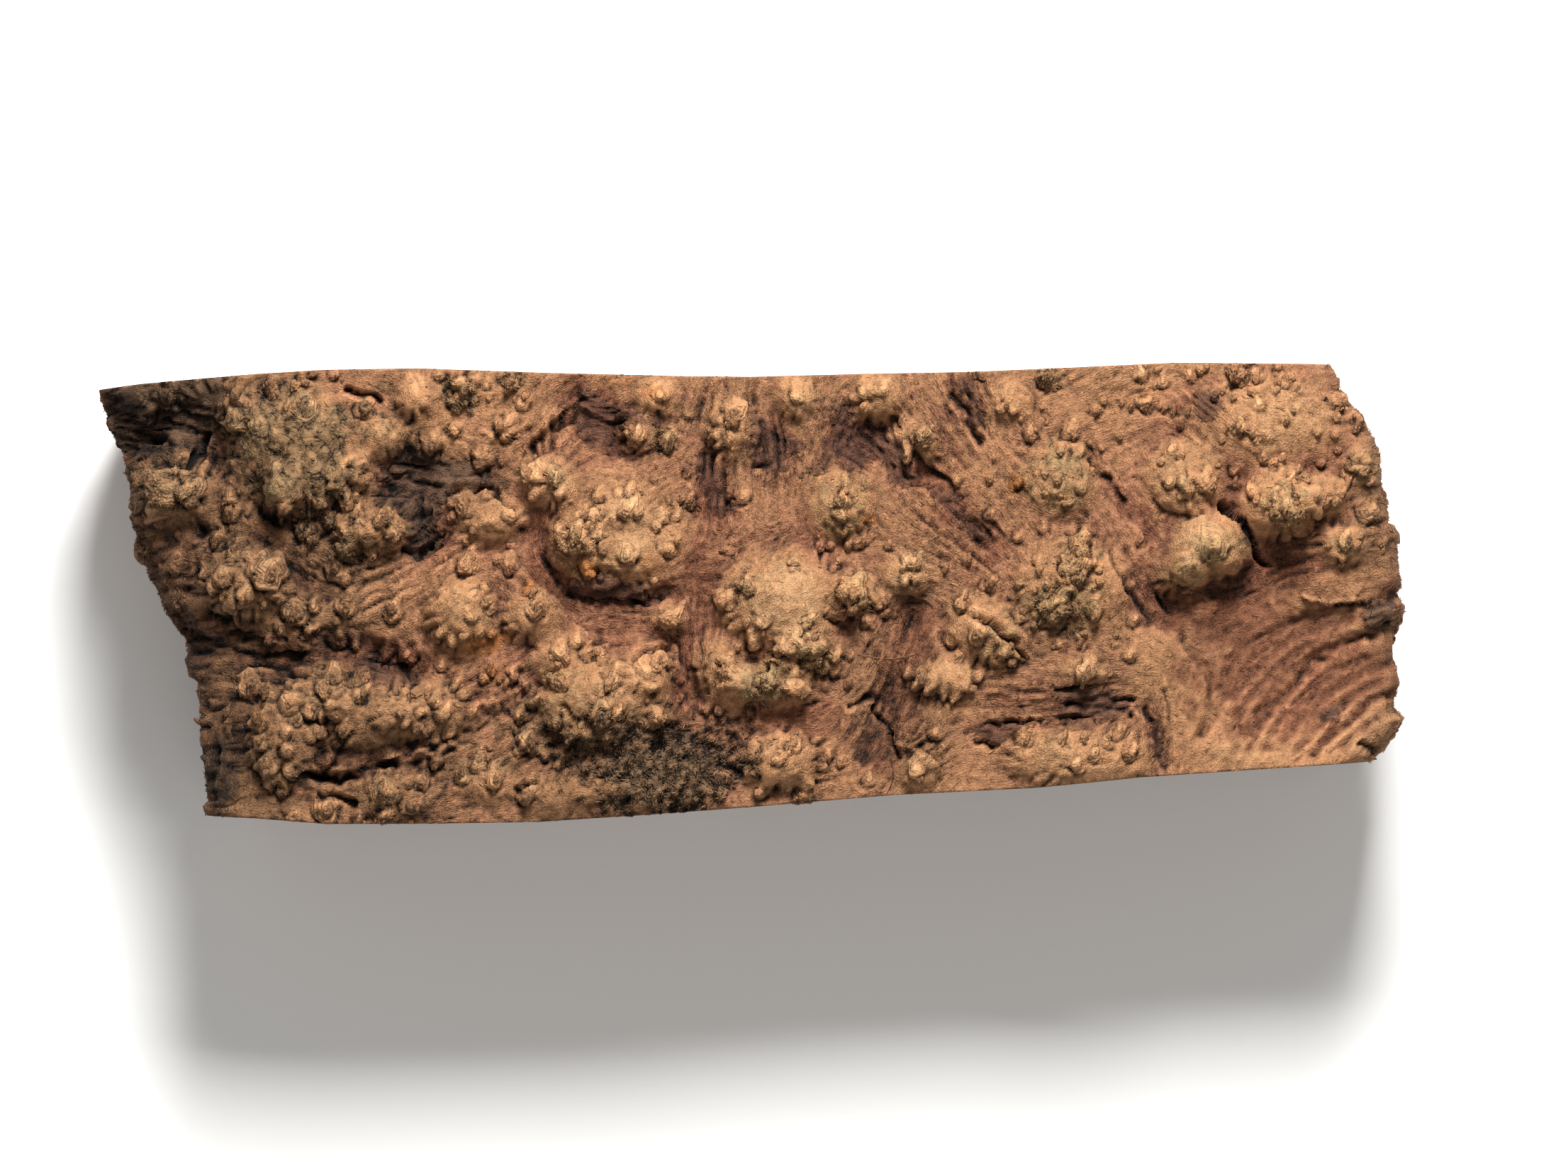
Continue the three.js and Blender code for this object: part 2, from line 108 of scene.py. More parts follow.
# Swellings of the rind: x, y, half length, half width, height in mm, turn in degrees
SWELLINGS = [
    (-65, 21, 10.5, 10, 2.8), (-62, 15.5, 5, 4, 1.2), (-70, 24, 5, 4.5, 0.8), (-82, 15, 7, 6, 3),
    (-72, 2, 7, 6, 3), (-53, 9.5, 7, 4, 3), (-56, 16, 4.5, 5, 3), (-60, -13, 6, 5, 3),
    (-66, -20, 6, 8, 3), (-54, -17, 8, 6, 2.5), (-47, -16, 8, 5, 2.5), (-41, -2.5, 5.5, 6, 3.5),
    (-31, -3, 5, 4.5, 2.5), (-28.5, 16, 5, 4.5, 3), (-36, 10.5, 5, 4, 2), (-19, 9, 11.5, 10.5, 3.1),
    (-24.5, 8, 4.5, 5.5, 1.1), (-17.2, 5.3, 5, 4, 1.2), (-17.5, 12, 4, 3.5, 1.1), (-3, 24, 4, 5, 2),
    (-16.2, 22.8, 3.2, 3.2, 2), (-13.5, 28, 3.5, 3.4, 2), (6.3, 28, 3.6, 3.6, 2.2),
    (18, 28, 4.3, 4.2, 2.5), (22.5, 21, 4.3, 4.2, 2.5), (12.5, 13, 5.5, 6, 2.5), (4, -1, 10, 9, 4),
    (14.5, 0.5, 4, 3.5, 2), (8, -8, 6, 4, 2), (-4, -11, 4.5, 7, 3, 25), (3, -12.5, 7, 4.5, 3),
    (-21, -15, 11, 8, 4), (-27, -8, 6, 3, 2, 30), (-11.5, -3.3, 3.5, 3, 1.8), (-14, -10.5, 5, 4, 2),
    (4, -23.5, 6, 5, 3), (-15, -26, 12, 6, 2), (36.5, 27.5, 4, 3.5, 1.5), (43.5, 16.5, 6, 6, 1.8),
    (45, 2, 9, 7.5, 2.4), (33, -5, 7, 5, 2.5, -40), (27, -11.5, 6, 3.5, 2), (22, 3, 4, 4, 1.5),
    (47, -11.2, 4, 2.5, 1.8), (46, -23, 11, 5.5, 2.6), (23.5, -25, 3, 3, 1.8), (61, 16.5, 6.5, 6.5, 2.4),
    (64.8, 6.4, 6.3, 6, 4.6), (60.8, 2.4, 4.2, 3.8, 2.6), (74.5, 13, 6.5, 6, 4), (80.5, 14, 4.5, 4, 2.5),
    (86.5, 18, 3, 4, 1.5), (83.7, 7, 4, 3.5, 2), (72, 24, 12, 8, 2.5), (-50, -28, 7, 4, 1.6),
    (-37, -26.5, 5, 3.5, 1.2), (-27, -28.5, 6, 3.5, 1.4), (-52.5, 22.3, 4, 3.6, 2),
    (-47.5, 28, 3.2, 3.8, 2.2), (-66.5, 15, 3.6, 3.8, 1.5), (76, -11, 18, 13, -2.2),
    (-96, 0, 27, 70, -3.5),
]

# Furrows (negative) and ridges (positive) of the rind's form: half width, height, then x, y of
# each point, all in mm
VALLEYS = [
    (4.5, -3.5, -91, 25, -84, 23, -78, 22), (4, -3, -80, -7, -70, -9, -60, -9, -50, -11),
    (3.5, -2.5, -53, 16, -47, 14, -46, 8), (2.5, -1.8, -47, 18, -38, 17),
    (1.1, -1, -30, 9, -29.5, 5, -27, 2, -23, 0, -18, -1, -12, 0), (1.6, -0.3, -9.5, 0, -9, -8, -8, -15),
    (4, -2, 24, -5, 22, -12, 18, -20), (3.5, -0.4, 32, -17, 44, -17, 54, -16),
    (0.9, -0.4, 55.6, -15.8, 57.2, -20, 58.6, -24.8), (4.5, -3, 60, -1, 70, 0, 74, 4),
    (2.2, -1.5, 18, 24, 26, 15, 34, 6), (1, -1.1, 48, 20, 50, 15.5, 54, 10.5, 56, 8.5),
    (1, -1, 49, 7.5, 51.5, 4, 54, 0, 56, -3), (3, -1.5, -24, 27, -18, 23), (2, -0.9, -6.5, 19, -5, 12),
    (2.5, -1, 2, 25, 4, 20), (3, -1, 13, 22, 21, 18), (2, -1.4, -49, 6, -45, 7),
    (1.6, -1.8, -70, 16, -68.5, 12, -64.5, 9.5), (1.5, -1.3, -40, 7, -34, 7.7, -33, 8.5),
    (1.6, -1.4, -69.5, 8, -61, 1), (1.4, -1.2, 11, 0, 14, -2.5), (1.4, -1.2, 10.5, -2.5, 12.5, -4.5),
]

# Cracks, splits and narrow furrows: half width, height, then x, y of each point, all in mm
CREASES = [
    (0.42, -2.5, 66.8, 12.1, 68.2, 10.8, 69.5, 9.1, 70.8, 7.2, 71.9, 5.2, 73, 3.9),
    (0.6, -2.6, -63, -25.5, -60, -26, -58, -26.2, -55, -25.2, -51, -24.5),
    (0.5, -2.2, -16.8, -8.6, -15, -8, -13, -7.7, -12.2, -7.8),
    (0.45, -1.5, 31.5, -3, 34, -3.8, 36, -5.5, 38, -7.5, 39, -8.8),
    (0.4, -1.1, 30, -19.5, 33, -18.3, 38, -18.2, 41, -17.9), (0.4, -1.4, 31.5, -20.8, 34, -21.5),
    (0.35, -0.9, 43.5, -13.8, 46, -13.6, 48.5, -13.1),
    (0.35, -1.3, 45, -15.5, 48.5, -15.7, 51.5, -15.2, 54, -15), (0.35, -1.2, 46, -17.3, 50, -16.9),
    (0.35, -1.2, 51.3, -16.4, 54, -17), (0.35, -0.9, 14, -15.7, 17, -14.7),
    (0.35, -0.9, 17.5, -16, 19, -18.5, 20.5, -21.5, 20.8, -23), (0.45, -1.4, -49, 6, -47, 5.6, -45.3, 7),
    (0.5, -1.6, -84, 19, -79.5, 18.2, -78, 20, -77, 22.5), (0.45, -1.5, -87.5, 22.5, -83.5, 22.2),
    (0.45, -1.3, -43, 14.2, -41, 14.5, -37, 15, -35, 13.7, -33.5, 12.5),
    (0.45, -1.5, -57, 29, -55, 28.2, -53, 28, -52.3, 27.3),
    (0.5, -1.6, -61, -28.3, -58.5, -28.7, -56, -29.3), (0.4, -1.4, -33, -28, -32, -27, -30.5, -26.2),
    (0.35, -1.2, 0, 17.5, 2.5, 18.3), (0.4, -1.5, 86, -21, 88, -22, 89, -22.5),
    (0.4, -1, 82.5, -1.9, 84.5, -1.7, 86, -1.5),
    (0.8, -0.4, 91, -3.8, 88.5, -5.8, 84, -7.8, 80.7, -8.7, 78, -11.2, 75.8, -13.6, 73.4, -16.1, 70.5,
     -20),
    (0.9, -0.8, -42, -21, -35, -16.5, -28, -12),
    (0.35, -0.35, -57, 0, -52, 2.8, -46, 5.6, -42, 8.6, -37, 9.6),
    (0.3, -0.35, -56, -1.2, -49, 2.6, -44, 6.6, -40, 8), (0.3, -0.3, -55, -2.4, -47, 1.6, -42.5, 5.2),
    (0.3, -0.3, -51, -0.4, -46, 2.9, -41, 6.9, -38, 8.2), (0.3, -0.3, -58, 2, -53, 4, -49, 5.2),
    (0.7, -0.9, -33, 17, -29, 22, -25, 25.5), (0.7, -0.8, -31, 19.5, -27.5, 23.5, -24, 27),
    (0.6, -0.9, 27.5, 31, 28.5, 28, 31, 25, 33, 21),
    (0.35, -0.8, 47.8, 19.5, 49.5, 17, 51.5, 14.3, 53.5, 12),
    (0.35, -0.6, 50.5, 5.5, 52.3, 2.6, 54, 0.2, 56.5, -3.5),
    (0.4, -0.6, 54, 16.5, 57, 12.5, 60, 11, 64, 12), (0.6, -0.6, 18, 23, 22, 17, 26, 14, 30, 10, 33, 7),
    (0.5, -0.9, 20, 24.5, 24.5, 18, 28, 15), (0.5, -0.7, -29, -18.8, -27.5, -20, -25.5, -21, -24, -20.5),
    (0.5, -0.7, -26.5, -15.8, -25, -17.3, -22, -18.3),
    (0.5, -0.6, -80, -5.5, -76, -6.8, -72, -5.8, -66, -6.4),
    (0.5, -0.7, -79.5, -8, -75, -7.6, -70, -9, -64, -8.6),
    (0.5, -0.6, -78.5, -10.3, -73, -10.9, -69, -9.9, -63, -11.2), (0.5, -1, -80, 1, -77, -3, -73, -4.8),
    (0.35, -0.5, -13.5, -4.5, -10, -7, -9, -12), (0.35, -0.45, -7, -3, -7.2, -8, -6.6, -14),
    (0.35, -0.6, 55.6, -16, 57, -18.5, 57, -20, 58, -24), (0.4, -0.5, 58.5, -14, 59, -20, 58.5, -24.5),
    (0.6, -0.4, 60.5, -6, 64, -10, 65.5, -14),
    (1.1, 1.1, -58, -26, -54, -24.3, -50, -23.2, -46, -22.3, -42, -21.8),
    (0.9, 0.3, 33, 0, 35.5, -2.5, 39, -6), (0.6, 0.6, 79, -0.7, 81, -1.3, 83.5, -1, 85.5, -0.7),
    (0.7, 0.9, -40, -17.5, -38, -16.3, -36.3, -15.2), (0.6, 0.8, -40, -18.8, -36, -16),
    (0.6, 0.7, 21, -21.5, 24, -23, 26.5, -25), (0.5, 0.6, 60.8, 17, 61.3, 14.5, 62, 12.7),
    (0.5, 0.6, -38, 22.5, -36, 21.8, -33.5, 22.3, -32, 23.5), (0.6, 0.8, -24, 26.5, -20, 24.5, -17, 26),
]

# Courses of the long ribs that fan out over one corner, from the end to the near edge: the topmost,
# the middle and the lowest, each as x, y of its points in mm
RIB_COURSES = [
    [(91, 1), (83, -1), (75.5, -3), (69, -7), (65, -12.5), (62, -19), (61, -25)],
    [(91.5, -4.5), (86, -7.4), (80.7, -9.4), (77, -12.8), (73.4, -16.6), (70.5, -20.6), (68.5, -25)],
    [(93, -16), (91, -17), (88.5, -18.3), (86, -19.8), (84, -21.4), (82, -23), (80, -25)],
]
RIBS = 11

# Pits: x, y, radius, depth in mm
PITS = [
    (-78, 8.7, 1.2, 2.2), (-73.5, -12.5, 1, 1.8), (-68, 2.7, 0.5, 0.6), (-62.5, -18, 0.5, 0.8),
    (-56.7, -1.1, 0.4, 0.5), (-75.5, -22, 1.5, 1), (84.5, -1.9, 0.8, 1.2), (38.4, -9.6, 0.8, 1.2),
    (-9.3, -14.6, 0.9, 0.9), (55.7, 8, 0.9, 1), (-32.4, 8.8, 0.8, 0.9), (-52.7, 26.8, 0.8, 0.9),
]

# Knobs standing on the rind: x, y, radius in mm, and what they are like: e with an eye, r rough and
# torn, l low, f drawn out like a finger
KNOBS = [
    (-88.6, 25.7, 1), (-85.4, 25.9, 1.3, "r"), (-86, 27.8, 0.8), (-91, 24, 0.8), (-82.5, 28.5, 2, "lr"),
    (-73, 25.5, 3), (-72, 28, 1.5), (-67.7, 29.2, 1.6, "r"), (-64.5, 29, 0.8), (-63.5, 26.5, 3, "l"),
    (-63.5, 31, 1), (-62, 31.2, 0.8), (-59, 31, 0.9), (-67.3, 20.7, 1), (-66.5, 15, 3.2),
    (-55.5, 18.2, 1.3, "e"), (-55.3, 16.4, 2), (-57.2, 13.7, 2, "e"), (-61, 13, 1.2), (-66.2, 10.6, 0.6),
    (-63, 8.8, 1.8, "r"), (-61.8, 7.5, 1, "r"), (-56.5, 7, 2.5, "r"), (-58.5, 3.3, 2.2),
    (-83, 15.5, 3.5, "r"), (-84, 11.5, 2.2), (-79, 14.5, 2.6), (-73.7, 13.8, 1.6), (-73.5, 11.5, 1.8),
    (-77.5, 17.5, 1.2), (-59.5, 10.2, 1.3, "r"), (-52, 10.5, 1.6, "r"), (-50.5, 8.3, 1.2, "r"),
    (-54, 6.2, 1.2, "r"), (-61.5, 17.8, 1.5, "el"), (-69.5, 23.8, 1.6, "el"), (-65.5, 25, 1.2, "l"),
    (-87, 15.7, 1.1), (-87.2, 12, 1), (-87, 10.3, 0.9), (-81.8, 8, 0.9), (-85.7, 7, 1.8, "r"),
    (-81.5, 4.5, 2), (-75.5, 7.5, 1.5), (-73.2, 6, 1.4), (-74.3, 2.2, 1.6), (-77.7, 3, 1),
    (-76, 0.7, 1.2), (-73.5, 4.6, 0.7), (-68.5, 3.5, 3.3), (-69, 1.3, 1.2), (-67.5, 0, 1.3),
    (-71.3, 0, 1.5), (-73, -1.3, 1.8), (-71.5, -1.3, 1), (-68.8, -1.3, 0.6), (-81.5, -1.7, 0.8),
    (-81, -3.4, 0.7), (-79.5, -5.8, 0.7), (-68.3, -6.7, 0.8), (-66.7, -5.5, 0.6), (-67, -4.5, 0.6),
    (-64.5, -2.8, 2.3), (-61.8, -1.8, 1.2), (-57.3, -1.8, 1.7), (-62.5, -5.5, 1.4, "r"),
    (-58.7, -6.3, 1.6), (-56.2, -7, 1.2), (-71, -12.8, 2.4), (-68.2, -14, 1.5), (-65.3, -12.7, 0.9),
    (-59.5, -12.5, 2.6), (-55.5, -11.5, 1.5), (-55, -14, 1.5), (-59.2, -15.7, 1), (-65, -15.5, 1.8),
    (-64, -17.7, 1.2), (-62, -16.8, 1.3), (-61, -18.8, 1.4), (-76, -15.2, 1.2), (-77.7, -17.8, 1),
    (-74, -16.8, 0.8), (-73, -18.5, 0.8), (-73.3, -19.5, 0.7), (-69.5, -18, 1.7), (-69, -20.8, 1.5),
    (-65.3, -21.8, 1.3), (-65.5, -19.7, 1), (-62, -20, 1.3), (-60, -23.3, 1.8), (-57.5, -19, 1.5),
    (-68.5, -24, 2), (-65, -25, 1.4), (-68, -27, 1.2), (-66, -27.3, 1.4), (-60, -30.5, 2.8),
    (-64.7, -31.5, 1.3), (-55.5, -31.5, 1.5), (-45.2, 21.5, 1.9), (-42, 23, 1.3, "r"),
    (-41.5, 28, 2, "r"), (-40.5, 29, 1.8), (-44.3, 31, 1), (-54.5, 26.5, 1.8), (-37.5, 29.3, 0.9),
    (-37, 27.7, 0.5), (-34, 30.5, 2, "r"), (-32.2, 27, 1.3), (-34.5, 23.8, 2.4), (-37.7, 19.7, 2.2),
    (-35.3, 19, 0.6), (-48.3, 12.3, 1.3), (-46, 12.5, 1.3), (-40.7, 12.6, 1.9, "e"), (-42.5, 10.6, 0.8),
    (-44, 9.4, 0.8), (-39.2, 8.8, 0.8), (-37.7, 14.3, 1.2, "e"), (-34, 11.3, 1.2), (-28, 16.3, 1.4, "r"),
    (-30.7, 13.9, 0.9), (-27, 14, 1), (-31, 17, 2), (-24.5, 8, 3, "r"), (-26.5, 6, 0.8),
    (-27.3, 7.6, 0.7), (-23, 4, 1.7), (-21, 6.3, 0.8), (-21.3, 2.6, 0.6), (-22.5, 10.7, 1),
    (-21.7, 14, 1), (-34, 4.2, 1.6, "l"), (-40, 4, 2), (-31.5, 1, 0.9), (-37.5, 1, 0.9),
    (-39.2, -0.2, 1.2, "el"), (-37.3, -1.2, 0.8), (-36.8, -2.2, 0.8), (-50.5, -2.5, 1.9),
    (-42, -6.5, 1.2), (-43.5, -5.7, 0.9), (-40.7, -6, 0.8), (-38.5, -5.7, 0.8), (-37, -5.5, 0.8),
    (-39.5, -3.3, 1), (-30.3, -2.2, 2, "e"), (-48.4, -8.5, 1.6, "e"), (-51.8, -8.3, 1.4),
    (-43.7, -10.2, 1), (-37.7, -11.8, 1.2), (-36.8, -10.8, 0.8), (-33.8, -12.2, 0.9), (-32.2, -12.5, 0.9),
    (-33.5, -11.2, 1.3), (-41.7, -12.6, 1.1), (-40.6, -14, 1), (-44.3, -15.2, 1.2), (-43.5, -17, 1.4),
    (-50, -12.8, 0.9), (-47.3, -14.2, 0.8), (-45.8, -14, 0.7), (-46.5, -16.8, 1), (-48.8, -18.3, 1, "e"),
    (-47.3, -19, 0.8), (-46, -19.5, 0.8), (-49.5, -16.8, 0.7), (-42.5, -20.3, 1.4, "l"), (-27, -12, 1.8),
    (-28.4, -11.7, 0.6), (-24.8, -6.8, 1.1), (-26.8, -8.2, 1.5), (-23, -8.7, 1.3), (-21.2, -8.7, 1.4),
    (-31, -15.2, 1.3), (-29.5, -14.8, 0.8), (-32.8, -17, 1.5), (-19.5, -12, 1.8), (-21, -16.7, 2, "r"),
    (-28, -18.5, 1.2), (-25.5, -20.2, 1.5), (-31.8, -20.5, 2), (-32.5, -22, 1.2), (-29.5, -22.3, 1.3),
    (-27.3, -23.5, 1.4), (-44.5, -23.7, 1.5), (-38.5, -23.8, 1.6), (-36.3, -26.5, 1.4), (-41, -25.8, 1.5),
    (-46.5, -26.5, 1.4), (-52, -27.5, 3, "l"), (-52.3, -31, 2, "r"), (-48, -30, 1.8), (-31.5, -28, 2),
    (-13.1, 28.2, 1.3, "e"), (-8.9, 25.5, 0.9), (-2.5, 25, 2.2, "lr"), (-5.3, 24.3, 0.5), (-5, 22.5, 0.9),
    (-4.4, 21.3, 1), (-3.2, 21.2, 0.9), (-5.7, 21.5, 0.7), (-16.2, 22.8, 2.2, "e"),
    (-11.8, 21.7, 1.8, "r"), (-13.8, 16, 0.7), (-9.2, 16.7, 0.7), (-18.5, 14.5, 0.9), (-17, 14.8, 1),
    (-16, 14.4, 0.7), (-17.5, 11.8, 1.9), (-16, 11.5, 0.8), (-21.8, 11.3, 1.1), (-11.8, 12.8, 0.8),
    (-12.6, 10.6, 1.1), (-10.5, 11.2, 1), (-13.5, 9.5, 0.8), (-8.8, 13.2, 1.2, "r"), (-10, 13.2, 0.6),
    (-11.7, 6.5, 1.5), (-17.2, 5.3, 1.9, "e"), (-21.5, 8.3, 1), (-13.8, 2, 0.6), (-3, 14, 0.8),
    (-1, 13.5, 1.1), (6.2, 27.8, 1), (15.6, 28.5, 1.1), (17.2, 28.2, 0.7), (18.5, 28.5, 0.9),
    (16, 26.3, 0.8), (-0.5, 1, 1.3, "r"), (-3.2, 6.5, 1.2, "l"), (-3.5, -0.8, 1.7), (6, 4.2, 0.8),
    (12.7, 13.5, 1.5, "r"), (15.8, 15.2, 0.8), (12.5, 11.2, 1.3), (13, 9, 1.2, "e"), (10, 7, 0.9),
    (11, 7, 0.7), (13.7, 7, 0.7), (15, 7, 1), (15.9, 7.5, 0.7), (9.8, 6.5, 0.6), (12, 4.3, 1, "e"),
    (14.7, 4, 0.6), (14.5, 0.5, 2.8, "r"), (-14.5, -9.5, 2.2, "l"), (-11.5, -3.3, 2.2, "lr"),
    (1.5, -4, 1.2), (0.5, -7, 1.2), (8, -4, 1.4, "el"), (6, -7.5, 1.8), (8.5, -8.5, 2.2, "r"),
    (11.7, -8.5, 1.2), (11.8, -11, 0.9), (10, -10.5, 0.9), (4, -7.5, 1.3, "r"), (12, -2.5, 1.8),
    (-3.5, -9, 1), (-3.7, -11, 1.1, "r"), (-4, -13, 0.8), (-6.5, -16, 1.1), (-4.5, -16.5, 0.8),
    (2.3, -12, 2, "r"), (6.5, -13, 2), (-14, -13.3, 1, "e"), (-12, -9.5, 0.9), (-10, -12, 0.7),
    (-10, -14.8, 0.6), (-18.5, -16.8, 1.2), (-13.5, -17, 1.4, "r"), (3.5, -23.5, 1.3, "e"), (6, -21, 1.5),
    (9.3, -20.8, 0.9), (10.7, -22.6, 1.2), (12.5, -23.8, 0.8), (10.2, -24.4, 1), (7.3, -28.5, 1.6, "r"),
    (1.5, -28, 1.2), (-4.3, -28.3, 1.3), (16.7, -26.3, 1.2), (13.7, -12.8, 0.8), (20.8, 23.3, 1.2),
    (24.2, 22.3, 1.5, "r"), (22, 19.3, 1.3), (29.1, 16, 0.9), (33.7, 11, 1.2), (37.6, 8, 0.9),
    (41.2, 9.3, 0.9), (39.5, 22.8, 1.4), (45.3, 23, 1.5), (37, 26, 0.9), (35.3, 26, 0.7),
    (35.6, 27.7, 0.4), (32, 31, 0.9), (42, 30.5, 2, "er"), (48.7, 26, 0.9, "r"), (52.2, 27, 0.5),
    (51.8, 22.2, 0.6), (48, 21.2, 0.5), (49.5, 20.8, 0.5), (41, 26.2, 0.4), (41.8, 24.3, 0.4),
    (46, 20.3, 0.9), (37.4, 15.5, 1.1), (33.5, 16.3, 0.7), (34.3, 19, 0.5), (41.5, 17, 0.7),
    (43, 16, 0.8), (42.8, 14.5, 1), (44.5, 13.2, 0.9), (43.5, 19.8, 0.6), (46.5, 15, 0.9),
    (49.7, 17.5, 0.9), (47, 9.3, 1), (46.5, 6.3, 1.8, "r"), (46, 3.5, 2.5, "r"), (49, 3.4, 0.6),
    (49, 1.6, 0.6), (40.7, 3.3, 0.8), (40, 4.6, 0.5), (33.7, 1.5, 1.5, "e"), (37.8, 1.5, 0.7),
    (41.8, 1.4, 0.7), (22.3, 4.8, 1.4), (21.5, 3.8, 0.6), (23.3, 4, 0.6), (21.8, 1.8, 1),
    (18.8, -0.7, 0.8), (19.3, 6.8, 0.6), (27.5, 3.5, 0.6), (30.5, 4.8, 0.6), (18, -1.5, 1.2),
    (18.7, -2.8, 0.9), (16.3, -4, 1), (29.7, -1.2, 1.4), (31.5, -2.5, 1.2), (32, -6, 1.8),
    (35.3, -8.2, 1.2), (36.7, -9.8, 0.7), (37.5, -8.5, 0.9), (28, -6.5, 1.3), (29.2, -8.8, 0.8),
    (23.6, -12.8, 0.9, "f"), (25.2, -13.6, 1.1, "f"), (27, -14.2, 1, "f"), (28.7, -14.6, 1, "f"),
    (30.3, -13.2, 1, "f"), (31.9, -12, 0.9, "f"), (22.2, -11.5, 0.9, "f"), (38, -3, 1.4, "e"),
    (43, -2, 3.2, "r"), (48.5, -2.5, 1.7), (46.5, -5.7, 0.9), (43.5, -7.3, 1), (51.5, -6.8, 1, "e"),
    (53.5, -9, 1), (54, -3.5, 1), (47, -11.2, 1.9), (46.6, -12.7, 0.4), (38.7, -20, 1.7, "e"),
    (44, -20.8, 0.8), (46, -24.3, 1.3, "e"), (48.3, -22.7, 1.3, "e"), (47, -20.6, 0.8), (50.2, -21, 1.2),
    (52, -19.3, 1.3, "e"), (53.7, -22.3, 1.5, "e"), (26, -19.8, 1.3), (27, -21.5, 0.9), (23.5, -25, 1.8),
    (55.5, 27, 1.5, "e"), (55, 31, 1.3), (58, 30, 1), (57.5, 26.5, 0.5), (58.3, 26.3, 0.6),
    (59.7, 26, 0.7), (61.7, 25.5, 0.6), (60.8, 24, 0.8), (62, 31, 1.2), (63.5, 31.5, 0.7),
    (64.3, 32, 0.6), (65.7, 27.5, 0.7), (68, 27.5, 0.6), (66.7, 28.8, 0.6), (68.5, 31.3, 2.3, "r"),
    (71.3, 30.8, 1.4), (70.8, 28.5, 0.7), (71.6, 26.6, 0.9), (74.5, 31.5, 0.9), (75, 29.8, 0.9),
    (76, 30.5, 0.8), (76.8, 29, 0.8), (76.5, 26, 0.5), (75.3, 24.5, 0.6), (67.3, 23.8, 0.6),
    (69, 23.4, 1.4, "r"), (70.6, 22.8, 0.6), (66.3, 21.8, 0.6), (80.9, 27.8, 0.5), (83, 27.5, 1.8, "r"),
    (82.7, 24.7, 0.6), (85.5, 24, 1.2, "r"), (80, 22.8, 0.5), (82.3, 22.5, 0.7), (82.7, 20.4, 0.6),
    (72.5, 19, 0.8), (73.5, 18.3, 0.8), (74.8, 19, 0.7), (72.8, 22, 1, "l"), (68.2, 17.3, 1, "e"),
    (68.3, 15.4, 0.7), (59.3, 20, 1.3, "e"), (58, 18.6, 0.6), (59, 15.7, 1.3), (61.3, 14.3, 1.2),
    (64, 15.7, 1.8), (70.8, 14.5, 1.3), (71, 13.2, 0.7), (75, 12.5, 3, "r"), (78, 16.2, 0.8),
    (80.5, 18.5, 0.7), (77, 17.5, 0.6), (80, 11.2, 0.9), (81, 13, 1), (82.3, 12.8, 0.7),
    (83.2, 14.3, 0.6), (84, 15.5, 0.7), (84.3, 17, 1), (86, 18, 1.8, "r"), (87.5, 16, 1), (87.2, 11.7, 2),
    (85.8, 8.3, 0.6), (83.5, 5.2, 0.9), (83.7, 7.4, 1.6), (85.2, 6.8, 0.7), (88.5, 7.3, 0.8),
    (88.9, 6.1, 0.5), (79.3, 8.7, 0.5), (65.3, 6.6, 2.7, "el"), (60.9, 2.7, 1.9, "el"), (58, 0, 0.5),
    (55, 7.5, 0.8),
]

# Long loose hairs that lie across the rind: x, y of points from end to end, in mm
HAIRS = [
    [(15, -8.5), (19, -9.2), (22, -8.8), (24, -8.3)],
    [(19.7, -23), (20, -26), (19, -28.5)],
]

# Which way the grain runs: x, y, degrees from the block's length, mm that the hint reaches
GRAIN_HINTS = [
    (88, 3, 12, 4), (78, 4, 10, 5), (68, -1, 25, 5), (-72, -8, -3, 6), (-62, -9, -5, 5), (-50, 4, 32, 7),
    (-35, -17, 32, 6), (-41, -21, 25, 5), (-29, 21, 50, 5), (-37, 17, 10, 4), (-65, 4.5, -40, 4),
    (-55, -24, 15, 5), (30, 26, -65, 4), (24, 16, -52, 5), (31, 8, -50, 5), (36, 13, -50, 4),
    (-8.5, -8, 85, 4), (38, -17, 3, 7), (50, -16, 0, 5), (57, -19, 85, 4), (22, -11, 72, 6),
    (17, -20, 60, 4), (2, 19, 92, 5), (-6, 27, 75, 4), (-6, 15, 78, 4), (11, 24, 65, 4), (27, 5, -20, 5),
    (24, -24, 50, 4), (50, 28, 25, 5), (53, 13, -58, 4), (54, 0, -65, 4), (-85, 24, -8, 5),
    (-88, 10, 80, 4), (-84, 1, 70, 4), (-76, -24, 85, 4), (-28, 2, -45, 4), (-19, -1, -5, 4),
    (-21, 28, 35, 4), (-12, 17, 20, 4), (-45, -29, 10, 5), (10, -27, 15, 5), (64, 25, -40, 4),
]

